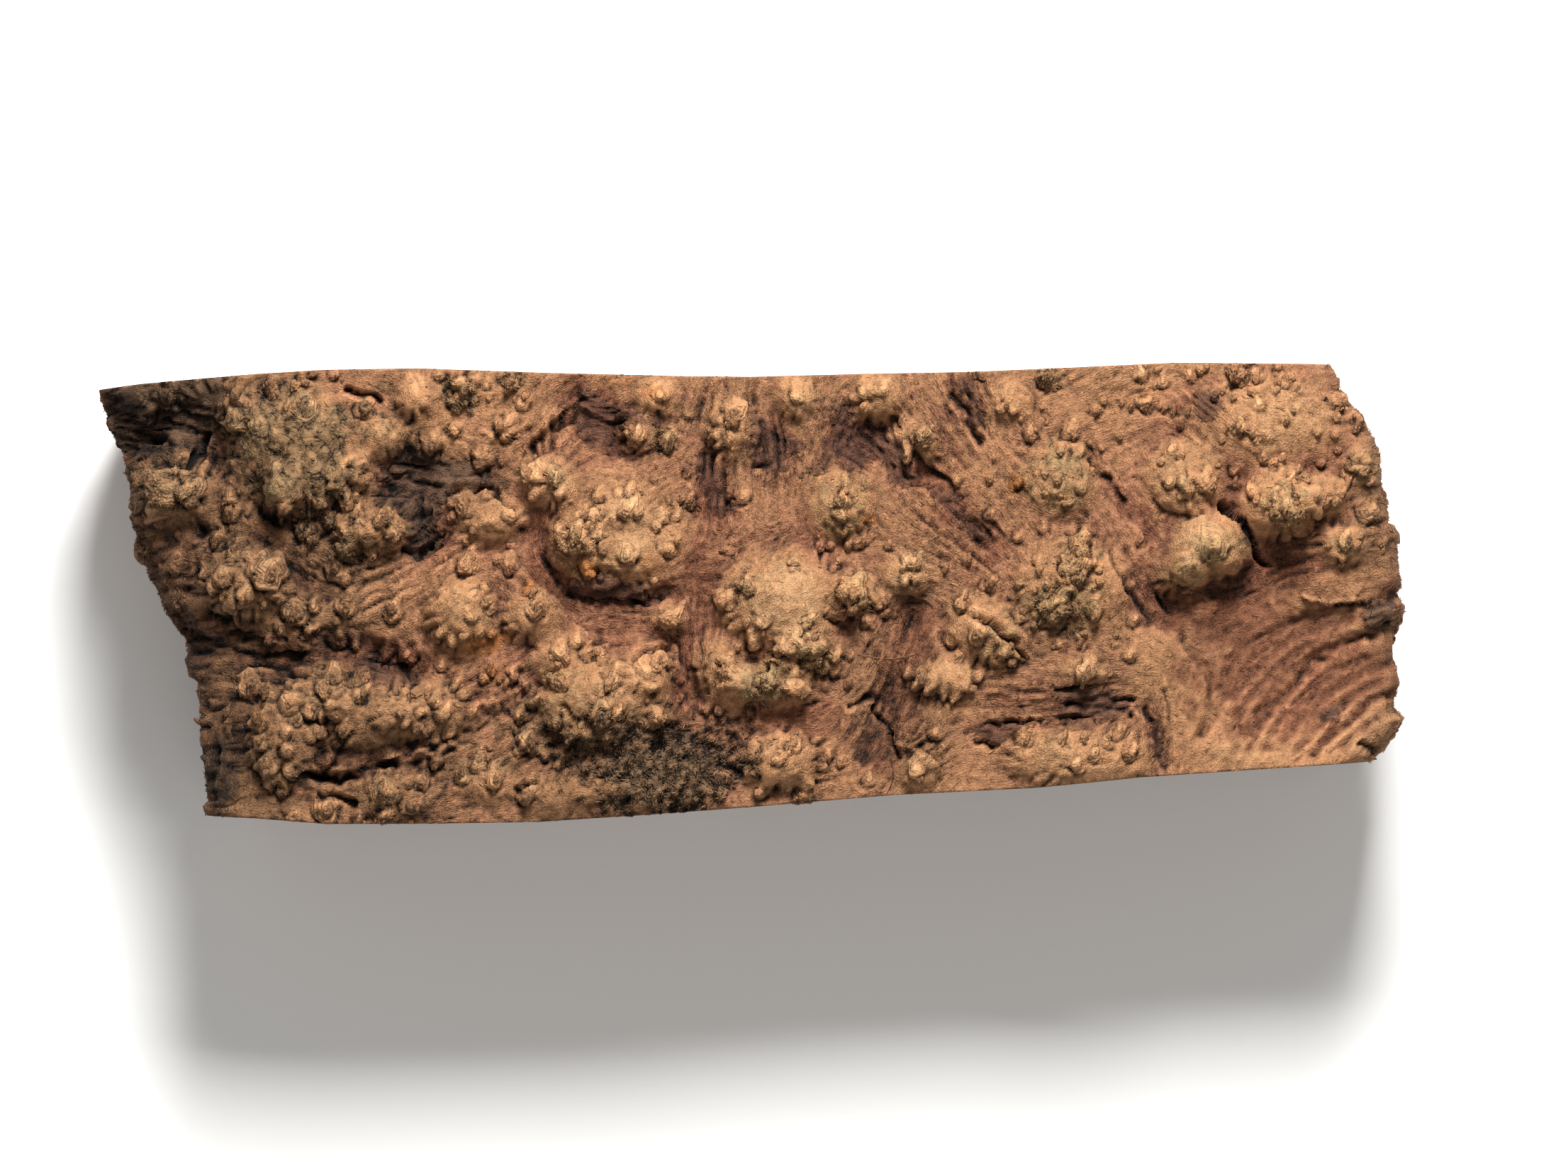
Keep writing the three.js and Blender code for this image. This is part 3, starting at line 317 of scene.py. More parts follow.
# Patches of old bark: kind of tone, then x, y of each corner in mm
BARK_PATCHES = [
    ("soot", -92, 29, -74, 30.5, -74.5, 27, -76, 24, -75.5, 21, -78, 19.5, -84, 19, -88.5, 19, -91, 24),
    ("soot", -53, 13, -52, 16.5, -50, 19.5, -47.5, 21.5, -44.5, 19.5, -41, 18.5, -36, 16.5, -35, 15.5,
     -38, 15.3, -42, 15.3, -43, 13.5, -44.5, 11, -44.5, 8.5, -45, 7, -47, 5.5, -49, 6, -48.5, 8, -48.5,
     10.5, -50.5, 12),
    ("plum", -25, 29, -24.5, 26, -25, 23, -23, 21, -20, 20.5, -19, 23, -17, 24.8, -14.5, 24, -13.5, 23,
     -12.3, 24, -15, 25, -17, 26.5, -22, 28),
    ("plum", -8, 20, -6.5, 20, -4, 16, -4, 14, -3.3, 12.3, -4, 10.2, -5, 10.5, -6.5, 13.5, -8, 17),
    ("plum", 0, 26, 0.3, 27.5, 3, 24, 4.5, 22.5, 7, 20, 5.5, 19, 2.5, 18, 0, 17.7),
    ("plum", 12.5, 26.5, 15, 24, 18, 24, 21, 20, 24, 17, 22.5, 15.5, 20, 17.5, 18, 19.5, 15.5, 18.2, 12.5,
     18.3, 11, 17.5, 6.3, 16.5, 10, 18, 10.5, 22, 11, 24),
    ("plum", -62, -6, -58, -9, -54, -9, -50, -11, -47, -12.5, -52, -13, -55, -11),
    ("soot", -77.5, -22, -74.5, -21, -73.5, -24, -72, -25.5, -72.5, -29.5, -76.5, -30),
    ("plum", 43, -13.5, 50, -13, 53, -15, 54, -16.5, 51, -16.3, 50, -17.5, 46, -19, 43.5, -17.5),
    ("plum", 31, -18.5, 38, -18, 43, -17.5, 41, -19, 37, -20, 34, -21.5, 31.5, -20.5),
    ("plum", 48, -19.5, 51.5, -18.5, 50.5, -20.5), ("plum", 62.5, 28, 65.5, 28.5, 66.5, 25.5, 63.5, 24.7),
    ("soot", 79.5, -16.2, 83.7, -16, 83.5, -17.6, 80, -17.8),
    ("plum", -27, 1, -23, -1, -14, -1.5, -13, 0.3, -18, 1, -24, 3),
    ("plum", 29, 29, 30.5, 31, 33, 24, 31.5, 23), ("plum", 25, 15.5, 27, 15, 33, 7.5, 31.5, 7),
    ("soot", 86, -1, 91, -1.5, 90.5, -5, 87, -4),
]

# Where each tone of the rind lies: x, y, half length, half width in mm, strength, turn in degrees
TONES = {
    "russet": [
        (76, -10, 18, 13, 0.65), (66, -1, 9, 4, 0.9), (70, 3, 6, 3, 0.8), (80, 3, 9, 5, 0.6),
        (88, -2, 5, 5, 0.7), (22, -11, 5, 9, 0.5), (40, -16, 13, 4, 0.3), (52, -14, 5, 4, 0.25),
        (57, -19, 1.6, 6, 0.5), (-66, -8, 12, 4, 0.35), (-50, -9, 6, 3, 0.3), (-10, -6, 2.5, 10, 0.3),
        (-20, 0, 8, 2.5, 0.35), (-29, 6, 3, 7, 0.5), (-8, 3, 3, 6, 0.4), (-5, 15, 3, 8, 0.5),
        (3, 20, 4, 6, 0.4), (13, 21, 5, 4, 0.5), (30, 8, 6, 7, 0.45), (26, 17, 5, 8, 0.5),
        (30, 27, 4, 6, 0.5), (-22, 25, 6, 4, 0.6), (-55, -24, 8, 3, 0.5), (-62, -27, 4, 2, 0.6),
        (-72, -20, 4, 6, 0.5), (-60, 2, 6, 3, 0.3), (-44, 10, 4, 6, 0.5), (-83, 4, 5, 8, 0.35),
        (55, 10, 4, 5, 0.15), (64, 25, 5, 4, 0.35), (-30, 24, 4, 4, 0.3), (10, -18, 6, 4, 0.5),
        (20, -23, 5, 5, 0.5), (4, -18, 5, 3, 0.2), (-40, -15, 4, 3, 0.3), (85, -20, 7, 5, 0.3),
        (-88, 5, 6, 22, 0.5), (-78, -12, 5, 18, 0.5),
    ],
    "sage": [
        (-64, 21, 10, 9, 0.8), (-62, 12, 5, 4, 0.6), (-56.5, 7, 4, 3, 0.6), (-63, 8.8, 3, 2.5, 0.6),
        (-82, 15, 5, 5, 0.5), (-50, 22, 5, 5, 0.45), (-41.5, 28, 4, 3, 0.7), (-34, 30.5, 3, 2, 0.7),
        (-28, 16.3, 2, 2, 0.7), (-24.5, 8, 2.6, 2.6, 0.6), (-40, -3, 5, 5, 0.35), (-26, -17, 10, 8, 0.6),
        (-47, -16, 5, 4, 0.3), (12.6, 12, 4, 5, 0.65), (-0.5, 1, 2.5, 3, 0.5), (8.5, -8.5, 4, 3, 0.7),
        (2.5, -12, 4, 3.5, 0.8), (8, -4, 1.8, 1.8, 0.6), (14.5, 0.5, 3.5, 3, 0.5), (-3.5, -11, 2, 3, 0.4),
        (43, -2, 8, 5, 0.7), (46, 4, 4.5, 4.5, 0.7), (35, -7, 4, 4, 0.6), (43.5, 16.5, 5.5, 5.5, 0.7),
        (61, 16.5, 5, 5, 0.5), (65.5, 6.5, 4, 4, 0.7), (61.5, 2.5, 3.5, 3, 0.6), (75, 12.5, 4.5, 4, 0.6),
        (80.5, 14, 4, 4, 0.4), (83.7, 7, 2.5, 2.5, 0.5), (86, 18, 2.5, 2.5, 0.6),
        (87.2, 11.7, 2.5, 2.5, 0.5), (42, 30.5, 3, 2, 0.6), (46, -22, 8, 4, 0.3), (47, -11.2, 3, 2, 0.4),
        (24, 22.3, 2.5, 2, 0.5), (18, 28, 2.5, 2.5, 0.5), (-11.8, 21.7, 2.2, 2, 0.7),
        (-66.5, 15, 3, 3, 0.5), (-18, -22, 8, 6, 0.5), (-60, -14, 4, 4, 0.4), (-52, -28, 6, 4, 0.3),
    ],
    # pale: partly a paler rind, partly painted highlight on swellings that catch the light
    "pale": [
        (5, -1, 7, 6, 0.6), (-31.8, -20.5, 3, 2.5, 0.8), (-38.5, -23.8, 5, 3, 0.6), (43, -22, 9, 4, 0.15),
        (46, -24, 8, 3, 0.1), (-60, 27, 6, 4, 0.4), (24, 2, 8, 5, 0.4), (60, 9, 5, 4, 0.5),
        (86, -18, 6, 5, 0.5), (70, -22, 8, 3, 0.4), (-17, 8, 6, 6, 0.4), (10, 26, 4, 4, 0.3),
        (28, -12, 5, 3, 0.2), (1, -10, 4, 3, 0.4), (75, 25, 8, 6, 0.35), (52, 30, 8, 3, 0.4),
    ],
    "amber": [
        (-23, 3.8, 2, 1.6, 0.9), (-37.5, -7, 4, 1.8, 0.8, 20), (37.4, 15.5, 1.5, 1.5, 0.9),
        (16.8, 10.5, 1.6, 0.7, 1), (5.5, 28.5, 3, 2, 0.25), (17.5, 29, 2.5, 1.5, 0.2),
        (-31.5, 1, 1.2, 1.2, 0.7), (-36, -11, 2.5, 2, 0.5), (-14, 28.5, 2, 1.5, 0.5),
        (-18.5, 29.8, 2, 1, 0.4), (-45, 24, 3, 2, 0.3), (-69.5, -18, 2, 3, 0.45), (-14, 4.5, 2, 2, 0.4),
        (2, -9, 3, 2, 0.35), (36, -10, 3, 2, 0.3), (-9, -14, 2, 2, 0.3), (55, 29, 4, 2, 0.3),
    ],
    # Dark bark, and painted shade in cracks, slits, pits, under lobes and over the darker left end
    "soot": [
        (-86, 23, 7, 5, 0.35), (-82, 20, 6, 2.5, 0.4), (-74, -8, 8, 4, 0.5), (-66, -10, 6, 2.5, 0.35),
        (-75, -25, 4, 7, 0.45), (-63, -26, 4, 2, 0.6), (-12, -25, 12, 6, 0.4), (-22, -24, 7, 5, 0.3),
        (18, -20, 5, 5, 0.5), (57.5, -21, 1.3, 5, 0.5), (84.5, -1.6, 4, 1, 0.5), (38, -9.5, 3, 2, 0.5),
        (70.2, 8, 5.2, 0.7, 1, -56), (-13, -8, 3, 2, 0.4), (-8.5, -8, 2.5, 7, 0.15),
        (88, -22, 3, 1.5, 0.5), (3, -15, 3, 1.5, 0.5), (-50, 25, 3, 2, 0.3), (-41, 27, 3, 2, 0.3),
        (-88, 0, 6, 30, 0.35), (-78, -14, 8, 18, 0.35), (-70, 0, 14, 10, 0.15), (2, -14, 8, 3, 0.35),
        (-22, -20, 8, 5, 0.3), (40, -6, 6, 3, 0.3),
    ],
    # Painted shade: these areas are darkened and turned a greyer brown, most of all over the left end
    "aged": [
        (-78, 0, 26, 45, 1), (-55, -22, 18, 12, 0.8), (-48, 14, 14, 10, 0.5), (-20, -24, 22, 9, 0.6),
        (72, -8, 22, 12, 0.35), (50, -14, 14, 6, 0.3), (0, 24, 8, 8, 0.2), (20, -14, 8, 14, 0.4),
        (90, 5, 6, 30, 0.4),
    ],
    "moss": [(-12, -25.5, 12, 6.5, 1), (-21, -21, 7, 5, 0.65), (-41, 28.5, 4, 3, 0.4), (-1, -21, 7, 5, 0.45)],
    "ribbed": [(77, -11, 17, 12.5, 1), (66, -14, 7, 9, 0.7), (80, 3, 9, 4, 0.4), (88, -19, 6, 5, 0.8)],
}


def smooth_through(points, places):
    """Values at places between 0 and 1 on one smooth curve through evenly spaced points."""
    points = np.array(points, float)
    ends = np.vstack([2 * points[0] - points[1], points, 2 * points[-1] - points[-2]])
    spot = np.clip(np.asarray(places, float), 0, 1) * (len(points) - 1)
    k = np.minimum(spot.astype(int), len(points) - 2)
    t = (spot - k)[:, None]
    a, b, c, d = (ends[k + n] for n in range(4))
    return 0.5 * (2 * b + (c - a) * t + (2 * a - 5 * b + 4 * c - d) * t**2 + (3 * b - a - 3 * c + d) * t**3)


def follow(points, places):
    """Straight steps through (place, value) pairs."""
    return np.interp(places, [p[0] for p in points], [p[1] for p in points])


def fade(value, low, high):
    """0 below low, 1 above high, smooth between."""
    share = np.clip((value - low) / (high - low), 0, 1)
    return share * share * (3 - 2 * share)


def soften(layer, radius):
    """A raster layer blurred over a radius in mm."""
    up = np.fft.fftfreq(layer.shape[0], STEP)[:, None]
    along = np.fft.rfftfreq(layer.shape[1], STEP)[None, :]
    keep = np.exp(-2 * (math.pi * radius) ** 2 * (up**2 + along**2))
    return np.fft.irfft2(np.fft.rfft2(layer) * keep, s=layer.shape)


def mottle(size, seed):
    """Random lumps of a size in mm, with a mean of 0 and a spread of 1."""
    lumps = soften(np.random.default_rng(seed).standard_normal(X.shape), size)
    return lumps / lumps.std()


def sample(layer, x, y):
    """A layer's value at places, from the raster's four nearest cells."""
    i = np.clip((x - GRID_X[0]) / STEP, 0, layer.shape[1] - 1.001)
    j = np.clip((y - GRID_Y[0]) / STEP, 0, layer.shape[0] - 1.001)
    i0, j0 = i.astype(int), j.astype(int)
    s, t = i - i0, j - j0
    low = layer[j0, i0] * (1 - s) + layer[j0, i0 + 1] * s
    high = layer[j0 + 1, i0] * (1 - s) + layer[j0 + 1, i0 + 1] * s
    return low * (1 - t) + high * t


def window(x0, x1, y0, y1):
    """The raster cells of a box."""
    columns = slice(*np.searchsorted(GRID_X, (x0, x1)))
    rows = slice(*np.searchsorted(GRID_Y, (y0, y1)))
    return rows, columns


def oval(cell, x, y, half_length, half_width, turn=0.0):
    """Squared distance from an oval's middle, 1 on its rim."""
    angle = math.radians(turn)
    dx, dy = X[cell] - x, Y[cell] - y
    along = dx * math.cos(angle) + dy * math.sin(angle)
    across = dy * math.cos(angle) - dx * math.sin(angle)
    return (along / half_length) ** 2 + (across / half_width) ** 2


def line_distance(x, y, line):
    """Distance in mm from a line through x, y, x, y..."""
    nearest = np.full(x.shape, np.inf)
    for k in range(0, len(line) - 3, 2):
        x0, y0, x1, y1 = line[k:k + 4]
        dx, dy = x1 - x0, y1 - y0
        share = np.clip(((x - x0) * dx + (y - y0) * dy) / (dx * dx + dy * dy), 0, 1)
        nearest = np.minimum(nearest, np.hypot(x - x0 - dx * share, y - y0 - dy * share))
    return nearest


def add_lines(layer, lines, wander):
    """Furrows and ridges; wander makes them run unevenly."""
    for half_width, height, *line in lines:
        reach = half_width * 3 + 1
        cell = window(min(line[::2]) - reach, max(line[::2]) + reach,
                      min(line[1::2]) - reach, max(line[1::2]) + reach)
        shift = min(0.5, half_width * 0.45)
        away = line_distance(X[cell] + wander[0][cell] * shift, Y[cell] + wander[1][cell] * shift, line)
        layer[cell] += height * np.exp(-((away / half_width) ** 2)) * (1 + 0.25 * wander[0][cell])


def ribs(seed):
    """Furrows of the ribbed corner, spread between its courses."""
    rng = np.random.default_rng(seed)
    top, middle, low = (np.array(course, float) for course in RIB_COURSES)
    made = []
    for k in range(RIBS):
        share = (k + rng.uniform(0.25, 0.75)) / RIBS * 2
        line = top + (middle - top) * share if share < 1 else middle + (low - middle) * (share - 1)
        line = line + rng.normal(0, 0.25, line.shape)
        first = rng.integers(0, 3)
        last = len(line) - rng.integers(0, 3)
        made.append((rng.uniform(0.7, 1.0), -rng.uniform(0.5, 0.85), *line[first:last].ravel()))
    return made


def corner_mask(corners, x, y):
    """1 where a place lies inside a patch and 0 outside it."""
    inside = np.zeros(x.shape, bool)
    points = list(zip(corners[::2], corners[1::2]))
    for (x0, y0), (x1, y1) in zip(points, points[1:] + points[:1]):
        crosses = (y < y0) != (y < y1)
        edge = x0 + (y - y0) * (x1 - x0) / (y1 - y0 if y1 != y0 else 1e-9)
        inside ^= crosses & (x < edge)
    return inside.astype(float)


def add_knob(layers, knob, settings, noise, rng):
    """One knob: a snout that rises slowly from the far side and drops steeply on the near side,
    with a crease under it and the top that its kind says. A small one is only a bud's soft foot."""
    x, y, radius, *kind = knob
    kind = "".join(kind)
    small = radius < BUD_LIMIT
    radius = radius * KNOB_WAIST
    tail = rng.uniform(1.5, 2.4) * (1.7 if "f" in kind else 1)
    reach = radius * 3 * tail * 0.8 + 0.8
    cell = window(x - reach, x + reach, y - reach, y + reach)
    lean = rng.normal(-0.3, 0.25)
    down = -((Y[cell] - y) * math.cos(lean) - (X[cell] - x) * math.sin(lean)) / radius
    aside = ((X[cell] - x) * math.cos(lean) + (Y[cell] - y) * math.sin(lean)) / radius
    down, aside = down + 0.13 * noise[cell], aside * rng.uniform(0.9, 1.2) + 0.13 * noise[cell][::-1]
    near_side = fade(down, -0.6, 0.6)
    away = np.hypot(np.where(down > 0, down, down / tail), aside * (1 + 0.25 * fade(-down, 0, tail)))
    height = settings.knob_height / MM * radius**KNOB_GROWTH * (0.5 if "l" in kind else 1.0)
    ball, bud = np.sqrt(np.clip(1 - away**2, 0, 1)), np.exp(-((away / 0.75) ** 2))
    dome = height * (ball * near_side + bud * (1 - near_side)) * (1 + 0.16 * noise[cell])
    under = np.exp(-((((away - 1) * radius - 0.15) / 0.25) ** 2)) * near_side * min(1, 0.4 + radius)
    if small:
        dome = 0.4 * height * np.exp(-((away / (1.35 - 0.3 * near_side)) ** 2))
    elif "e" in kind:
        dome += height * (0.3 * np.exp(-((away / 0.3) ** 2)) - 0.45 * np.exp(-(((away - 0.55) / 0.22) ** 2)))
    elif radius > 0.9:
        rings = np.cos(away * radius * 4.8 + 1.8 * noise[cell] + rng.uniform(0, 6.3))
        dome += 0.12 * rings * np.exp(-((away / 0.8) ** 2))
    if "r" in kind:
        dome += np.where(away < 1, 0.22 * noise[cell], 0) * min(1, height)
        torn = np.exp(-(((away - 0.8) / 0.4) ** 2)) * (0.4 + 0.6 * near_side)
        layers["torn"][cell] = np.maximum(layers["torn"][cell], torn)
    layers["relief"][cell] += dome - 0.4 * height * under
    # Painted highlight: the tops layer lightens the colour over the knob's top, and the unders layer paints
    # shade into the crease under it
    top = np.exp(-((away / 0.85) ** 2)) * min(1, 0.4 + radius / 3)
    layers["tops"][cell] = np.maximum(layers["tops"][cell], top)
    layers["unders"][cell] = np.maximum(layers["unders"][cell], under)
    layers["ring"][cell] = np.maximum(layers["ring"][cell], (1.15 - away) * radius)


def young_knobs(count, seed):
    """Small unlisted knobs that crowd on and round the listed ones, clear of each other."""
    rng = np.random.default_rng(seed)
    parents = [k for k in KNOBS if k[2] >= 0.9]
    taken, young = [], []
    for _ in range(count):
        px, py, radius = parents[rng.integers(len(parents))][:3]
        angle, away = rng.uniform(0, 2 * math.pi), rng.uniform(0.3, 1.9)
        size = rng.uniform(0.32, 0.7)
        x, y = px + math.cos(angle) * radius * away, py + math.sin(angle) * radius * away
        spot = np.array(taken or [(0, 99, 0)])
        if np.all(np.hypot(spot[:, 0] - x, spot[:, 1] - y) > spot[:, 2] + size * 0.9):
            taken.append((x, y, size))
            young.append((x, y, size, "l" if rng.random() < 0.5 else ""))
    return young


def add_flutes(relief, settings, noise):
    """Folds that run down the near side of the larger swellings and part it into fingers."""
    rng = np.random.default_rng(22)
    for x, y, half_length, half_width, height, *turn in SWELLINGS:
        if height < 1.9 or max(half_length, half_width) > 11:
            continue
        reach = max(half_length, half_width) * 1.25
        cell = window(x - reach, x + reach, y - reach, y + reach)
        away = np.sqrt(oval(cell, x, y, half_length, half_width, *turn))
        bearing = np.arctan2(Y[cell] - y, X[cell] - x)
        fingers = round(2 * math.pi * math.sqrt(half_length * half_width) / rng.uniform(2, 3.2))
        fold = 0.5 + 0.5 * np.cos(fingers * bearing + rng.uniform(0, 6.3) + 1.4 * noise[cell])
        near_side = fade(-np.sin(bearing) - 0.6 * np.cos(bearing), -0.3, 0.8)
        rim = np.exp(-(((away - 0.82) / 0.24) ** 2)) * near_side
        depth = settings.flute_depth / MM * rim
        relief[cell] += depth * (0.4 - 0.3 * fold - 1.1 * fold**7) * fade(noise[cell], -0.6, 0.8)


def small_and_large_knobs():
    """Every knob of the rind and of the natural ends."""
    return KNOBS + young_knobs(YOUNG_KNOBS, 11) + wall_knobs(WALL_KNOBS, 12)


def wall_knobs(count, seed):
    """Knobs of the natural ends, which the photograph doesn't show: placed past the outline,
    where the raster holds the unrolled end walls."""
    rng = np.random.default_rng(seed)
    knobs = []
    for _ in range(count):
        side = -1 if rng.random() < 0.5 else 1
        knobs.append((side * rng.uniform(WALL_FULL, 130), rng.uniform(-32, 32), rng.uniform(0.5, 2), "l"))
    return knobs


def grain_field(form, relief, lines):
    """Cosine and sine of the grain's angle: along the furrows, as the hints say, and loosely round
    the swellings and the knobs."""
    twice_cos, twice_sin = np.full(X.shape, 0.05), np.zeros(X.shape)
    for ground, radius, pull in ((form, 1.5, 0.5), (relief, 0.6, 0.7)):
        slope_y, slope_x = np.gradient(soften(ground, radius), STEP)
        angle = np.arctan2(slope_x, -slope_y) + 0.6 * mottle(2.2, 21)
        twice_cos += pull * np.hypot(slope_x, slope_y) * np.cos(2 * angle)
        twice_sin += pull * np.hypot(slope_x, slope_y) * np.sin(2 * angle)
    hints = [(*hint, 1.6) for hint in GRAIN_HINTS]
    for _, _, *line in lines:
        for k in range(0, len(line) - 3, 2):
            x0, y0, x1, y1 = line[k:k + 4]
            course = math.degrees(math.atan2(y1 - y0, x1 - x0))
            reach = 1.2 + 0.3 * math.hypot(x1 - x0, y1 - y0)
            hints.append(((x0 + x1) / 2, (y0 + y1) / 2, course, reach, 1.2))
    for x, y, degrees, reach, pull in hints:
        cell = window(x - 3 * reach, x + 3 * reach, y - 3 * reach, y + 3 * reach)
        weight = pull * np.exp(-oval(cell, x, y, reach, reach))
        twice_cos[cell] += weight * math.cos(math.radians(2 * degrees))
        twice_sin[cell] += weight * math.sin(math.radians(2 * degrees))
    angle = 0.5 * np.arctan2(soften(twice_sin, 0.5), soften(twice_cos, 0.5))
    return np.cos(angle), np.sin(angle)


def flow_layer():
    """1 where the grain is seen to flow and 0 away from there."""
    flow = np.zeros(X.shape)
    for x, y, _, reach in GRAIN_HINTS:
        cell = window(x - 3 * reach, x + 3 * reach, y - 3 * reach, y + 3 * reach)
        flow[cell] = np.maximum(flow[cell], np.exp(-oval(cell, x, y, reach, reach)))
    return flow


def warped(layer, wander, reach):
    """A layer whose outlines are made ragged over a reach in mm."""
    return sample(layer, X + wander[0] * reach, Y + wander[1] * reach)


def dents(height, radius):
    """How far the surface lies under the mean round it, with a spread of 1."""
    dent = soften(height, radius) - height
    return dent / dent[:, np.abs(GRID_X) < FACE_REACH].std()


def streaks(lumps, grain, length):
    """Lumps drawn out along the grain, with a mean of 0 and a spread of 1."""
    along, up = grain
    rows, columns = lumps.shape
    total = lumps.copy()
    for way in (1, -1):
        px, py = (X - GRID_X[0]) / STEP, (Y - GRID_Y[0]) / STEP
        dx, dy = along * way, up * way
        for _ in range(int(length / STEP / 2)):
            px, py = px + dx, py + dy
            i = np.clip(np.rint(px), 0, columns - 1).astype(int)
            j = np.clip(np.rint(py), 0, rows - 1).astype(int)
            turn = np.where(along[j, i] * dx + up[j, i] * dy < 0, -1.0, 1.0)
            dx, dy = along[j, i] * turn, up[j, i] * turn
            total += lumps[j, i]
    total -= total.mean()
    return total / total.std()


def tone_layer(name, breakup):
    """How strong one tone is over the rind, with ragged borders."""
    layer = np.zeros(X.shape)
    for x, y, half_length, half_width, strength, *turn in TONES[name]:
        reach = max(half_length, half_width) * 1.6
        cell = window(x - reach, x + reach, y - reach, y + reach)
        away = np.sqrt(oval(cell, x, y, half_length, half_width, *turn)) + breakup[cell] * 0.16
        layer[cell] = np.maximum(layer[cell], strength * (1 - fade(away, 0.6, 1.25)))
    return layer


def work_out_rind(shape):
    """Every layer of the rind on the raster: its form, its relief, its grain and its tones."""
    fine, small, broad = mottle(0.22, 3), mottle(0.6, 4), mottle(1.6, 5)
    wander = small, mottle(0.6, 14)
    bends = mottle(1.6, 16)
    form = np.full(X.shape, GROUND)
    for x, y, half_length, half_width, height, *turn in SWELLINGS:
        reach = max(half_length, half_width)
        cell = window(x - reach, x + reach, y - reach, y + reach)
        away = np.clip(1 - oval(cell, x, y, half_length, half_width, *turn), 0, 1)
        far_side = fade(Y[cell] - y, -0.3 * half_width, half_width)
        form[cell] += height * shape.swelling_scale * away ** (1.0 + 0.3 * far_side)
    add_lines(form, VALLEYS, (broad, bends))
    form = soften(form, 0.45)
    corner_ribs = ribs(17)
    layers = {name: np.zeros(X.shape) for name in ("relief", "tops", "unders", "torn", "ring")}
    rng = np.random.default_rng(18)
    for knob in small_and_large_knobs():
        add_knob(layers, knob, shape, small, rng)
    relief, tops = layers["relief"], layers["tops"]
    add_flutes(relief, shape, broad)
    grain = grain_field(form, relief, VALLEYS + CREASES + corner_ribs)
    fine_streak, wide_streak = streaks(mottle(0.2, 6), grain, 4), streaks(mottle(0.5, 7), grain, 7)
    tones = {name: tone_layer(name, small) for name in TONES}
    for name in ("bark", "plum"):
        tones[name] = np.zeros(X.shape)
    rims = np.zeros(X.shape)
    ragged_x, ragged_y = 0.5 * small + 0.35 * mottle(0.25, 13), 0.5 * wander[1] + 0.35 * fine
    for kind, *corners in BARK_PATCHES:
        patch = soften(corner_mask(corners, X + ragged_x, Y + ragged_y), 0.2) + 0.12 * fine_streak
        name = "bark" if kind == "soot" else "plum"
        tones[name] = np.maximum(tones[name], fade(patch, 0.4, 0.56))
        # The groove round each bark plate, which is also painted darker as painted shade
        rims = np.maximum(rims, np.exp(-(((patch - 0.36) / 0.16) ** 2)) * fade(patch, 0.1, 0.3))
    plates = np.maximum(tones["bark"], tones["plum"])
    wall = fade(np.abs(X), WALL_FROM, WALL_FULL)
    deep = np.clip(tones["russet"] + tones["soot"] * 0.8 + 0.35 * wall, 0, 1)

    relief += broad * (0.06 + 0.3 * wall) + small * 0.05
    torn = np.clip(layers["torn"] + 0.5 * tones["sage"] + 0.8 * tones["moss"], 0, 1)
    relief = warped(relief, (mottle(0.35, 19), mottle(0.35, 20)), 0.1 + 0.18 * torn)
    for x, y, radius, depth in PITS:
        cell = window(x - 3 * radius, x + 3 * radius, y - 3 * radius, y + 3 * radius)
        relief[cell] -= 0.6 * depth * np.exp(-oval(cell, x, y, radius, radius) * 1.2)
    add_lines(relief, CREASES, (small + broad, wander[1] + bends))
    add_lines(relief, corner_ribs, (0.4 * broad, 0.4 * bends))
    rise = np.clip(0.5 + (form - soften(form, 6)) / 4, 0, 1)
    grained = 0.35 + 0.4 * deep + 0.5 * flow_layer() + 0.4 * (0.5 - rise) - 0.2 * tops - 0.8 * tones["ribbed"]
    grained = np.clip(grained + 0.15 * broad - 0.15 * fade(X, 30, 50), 0.1, 1)
    creases = np.exp(-((wide_streak / 0.35) ** 2)) * fade(broad + 0.5 * grained, -0.9, 0.6)
    creases *= 1 - 0.7 * tones["ribbed"]
    furrow = 0.75 * fine_streak + (0.2 + 0.35 * deep) * wide_streak - (0.6 + 0.2 * deep) * creases
    furrow *= 1 - 0.5 * tones["ribbed"]
    combed = shape.wrinkle_depth / MM * grained * furrow
    relief += combed + shape.wrinkle_depth / MM * (0.25 + 0.45 * torn) * mottle(0.28, 15)
    relief += plates * (0.25 + 0.12 * fine_streak + 0.12 * small) - 0.25 * rims
    relief += tones["moss"] * (0.16 * mottle(0.34, 9) + 0.25 * small)
    relief += 0.45 * (relief - soften(relief, 0.4))
    height = form + relief - 0.6 * combed
    # Painted shade and highlight: darker where the surface lies under the mean round it, lighter on crests,
    # darker still in the crease under each knob and round each bark plate
    dent = 0.22 * dents(height, 0.35) + 0.06 * dents(height, 0.9) + 0.02 * dents(height, 2.5)
    dent = np.clip(0.46 + dent + 0.22 * layers["unders"] + 0.16 * rims, 0, 1)
    # Lighter and darker streaks of grain tone along the fibres, with painted shade in the wide creases of the
    # furrows
    light_streak = (0.2 * fine_streak + 0.14 * wide_streak - 0.25 * creases) * (0.3 + 0.7 * grained)
    light_streak = np.clip(0.5 + light_streak, 0, 1)
    tones.update(ring=layers["ring"], tops=tops, dent=dent, streak=light_streak)
    tones.update(wall=wall, rise=rise, torn=torn, grained=grained)
    tones.update(grain_cos=2 * grain[0] ** 2 - 1, grain_sin=2 * grain[0] * grain[1])
    return {"form": form, "relief": relief, "grain": grain, "tones": tones}


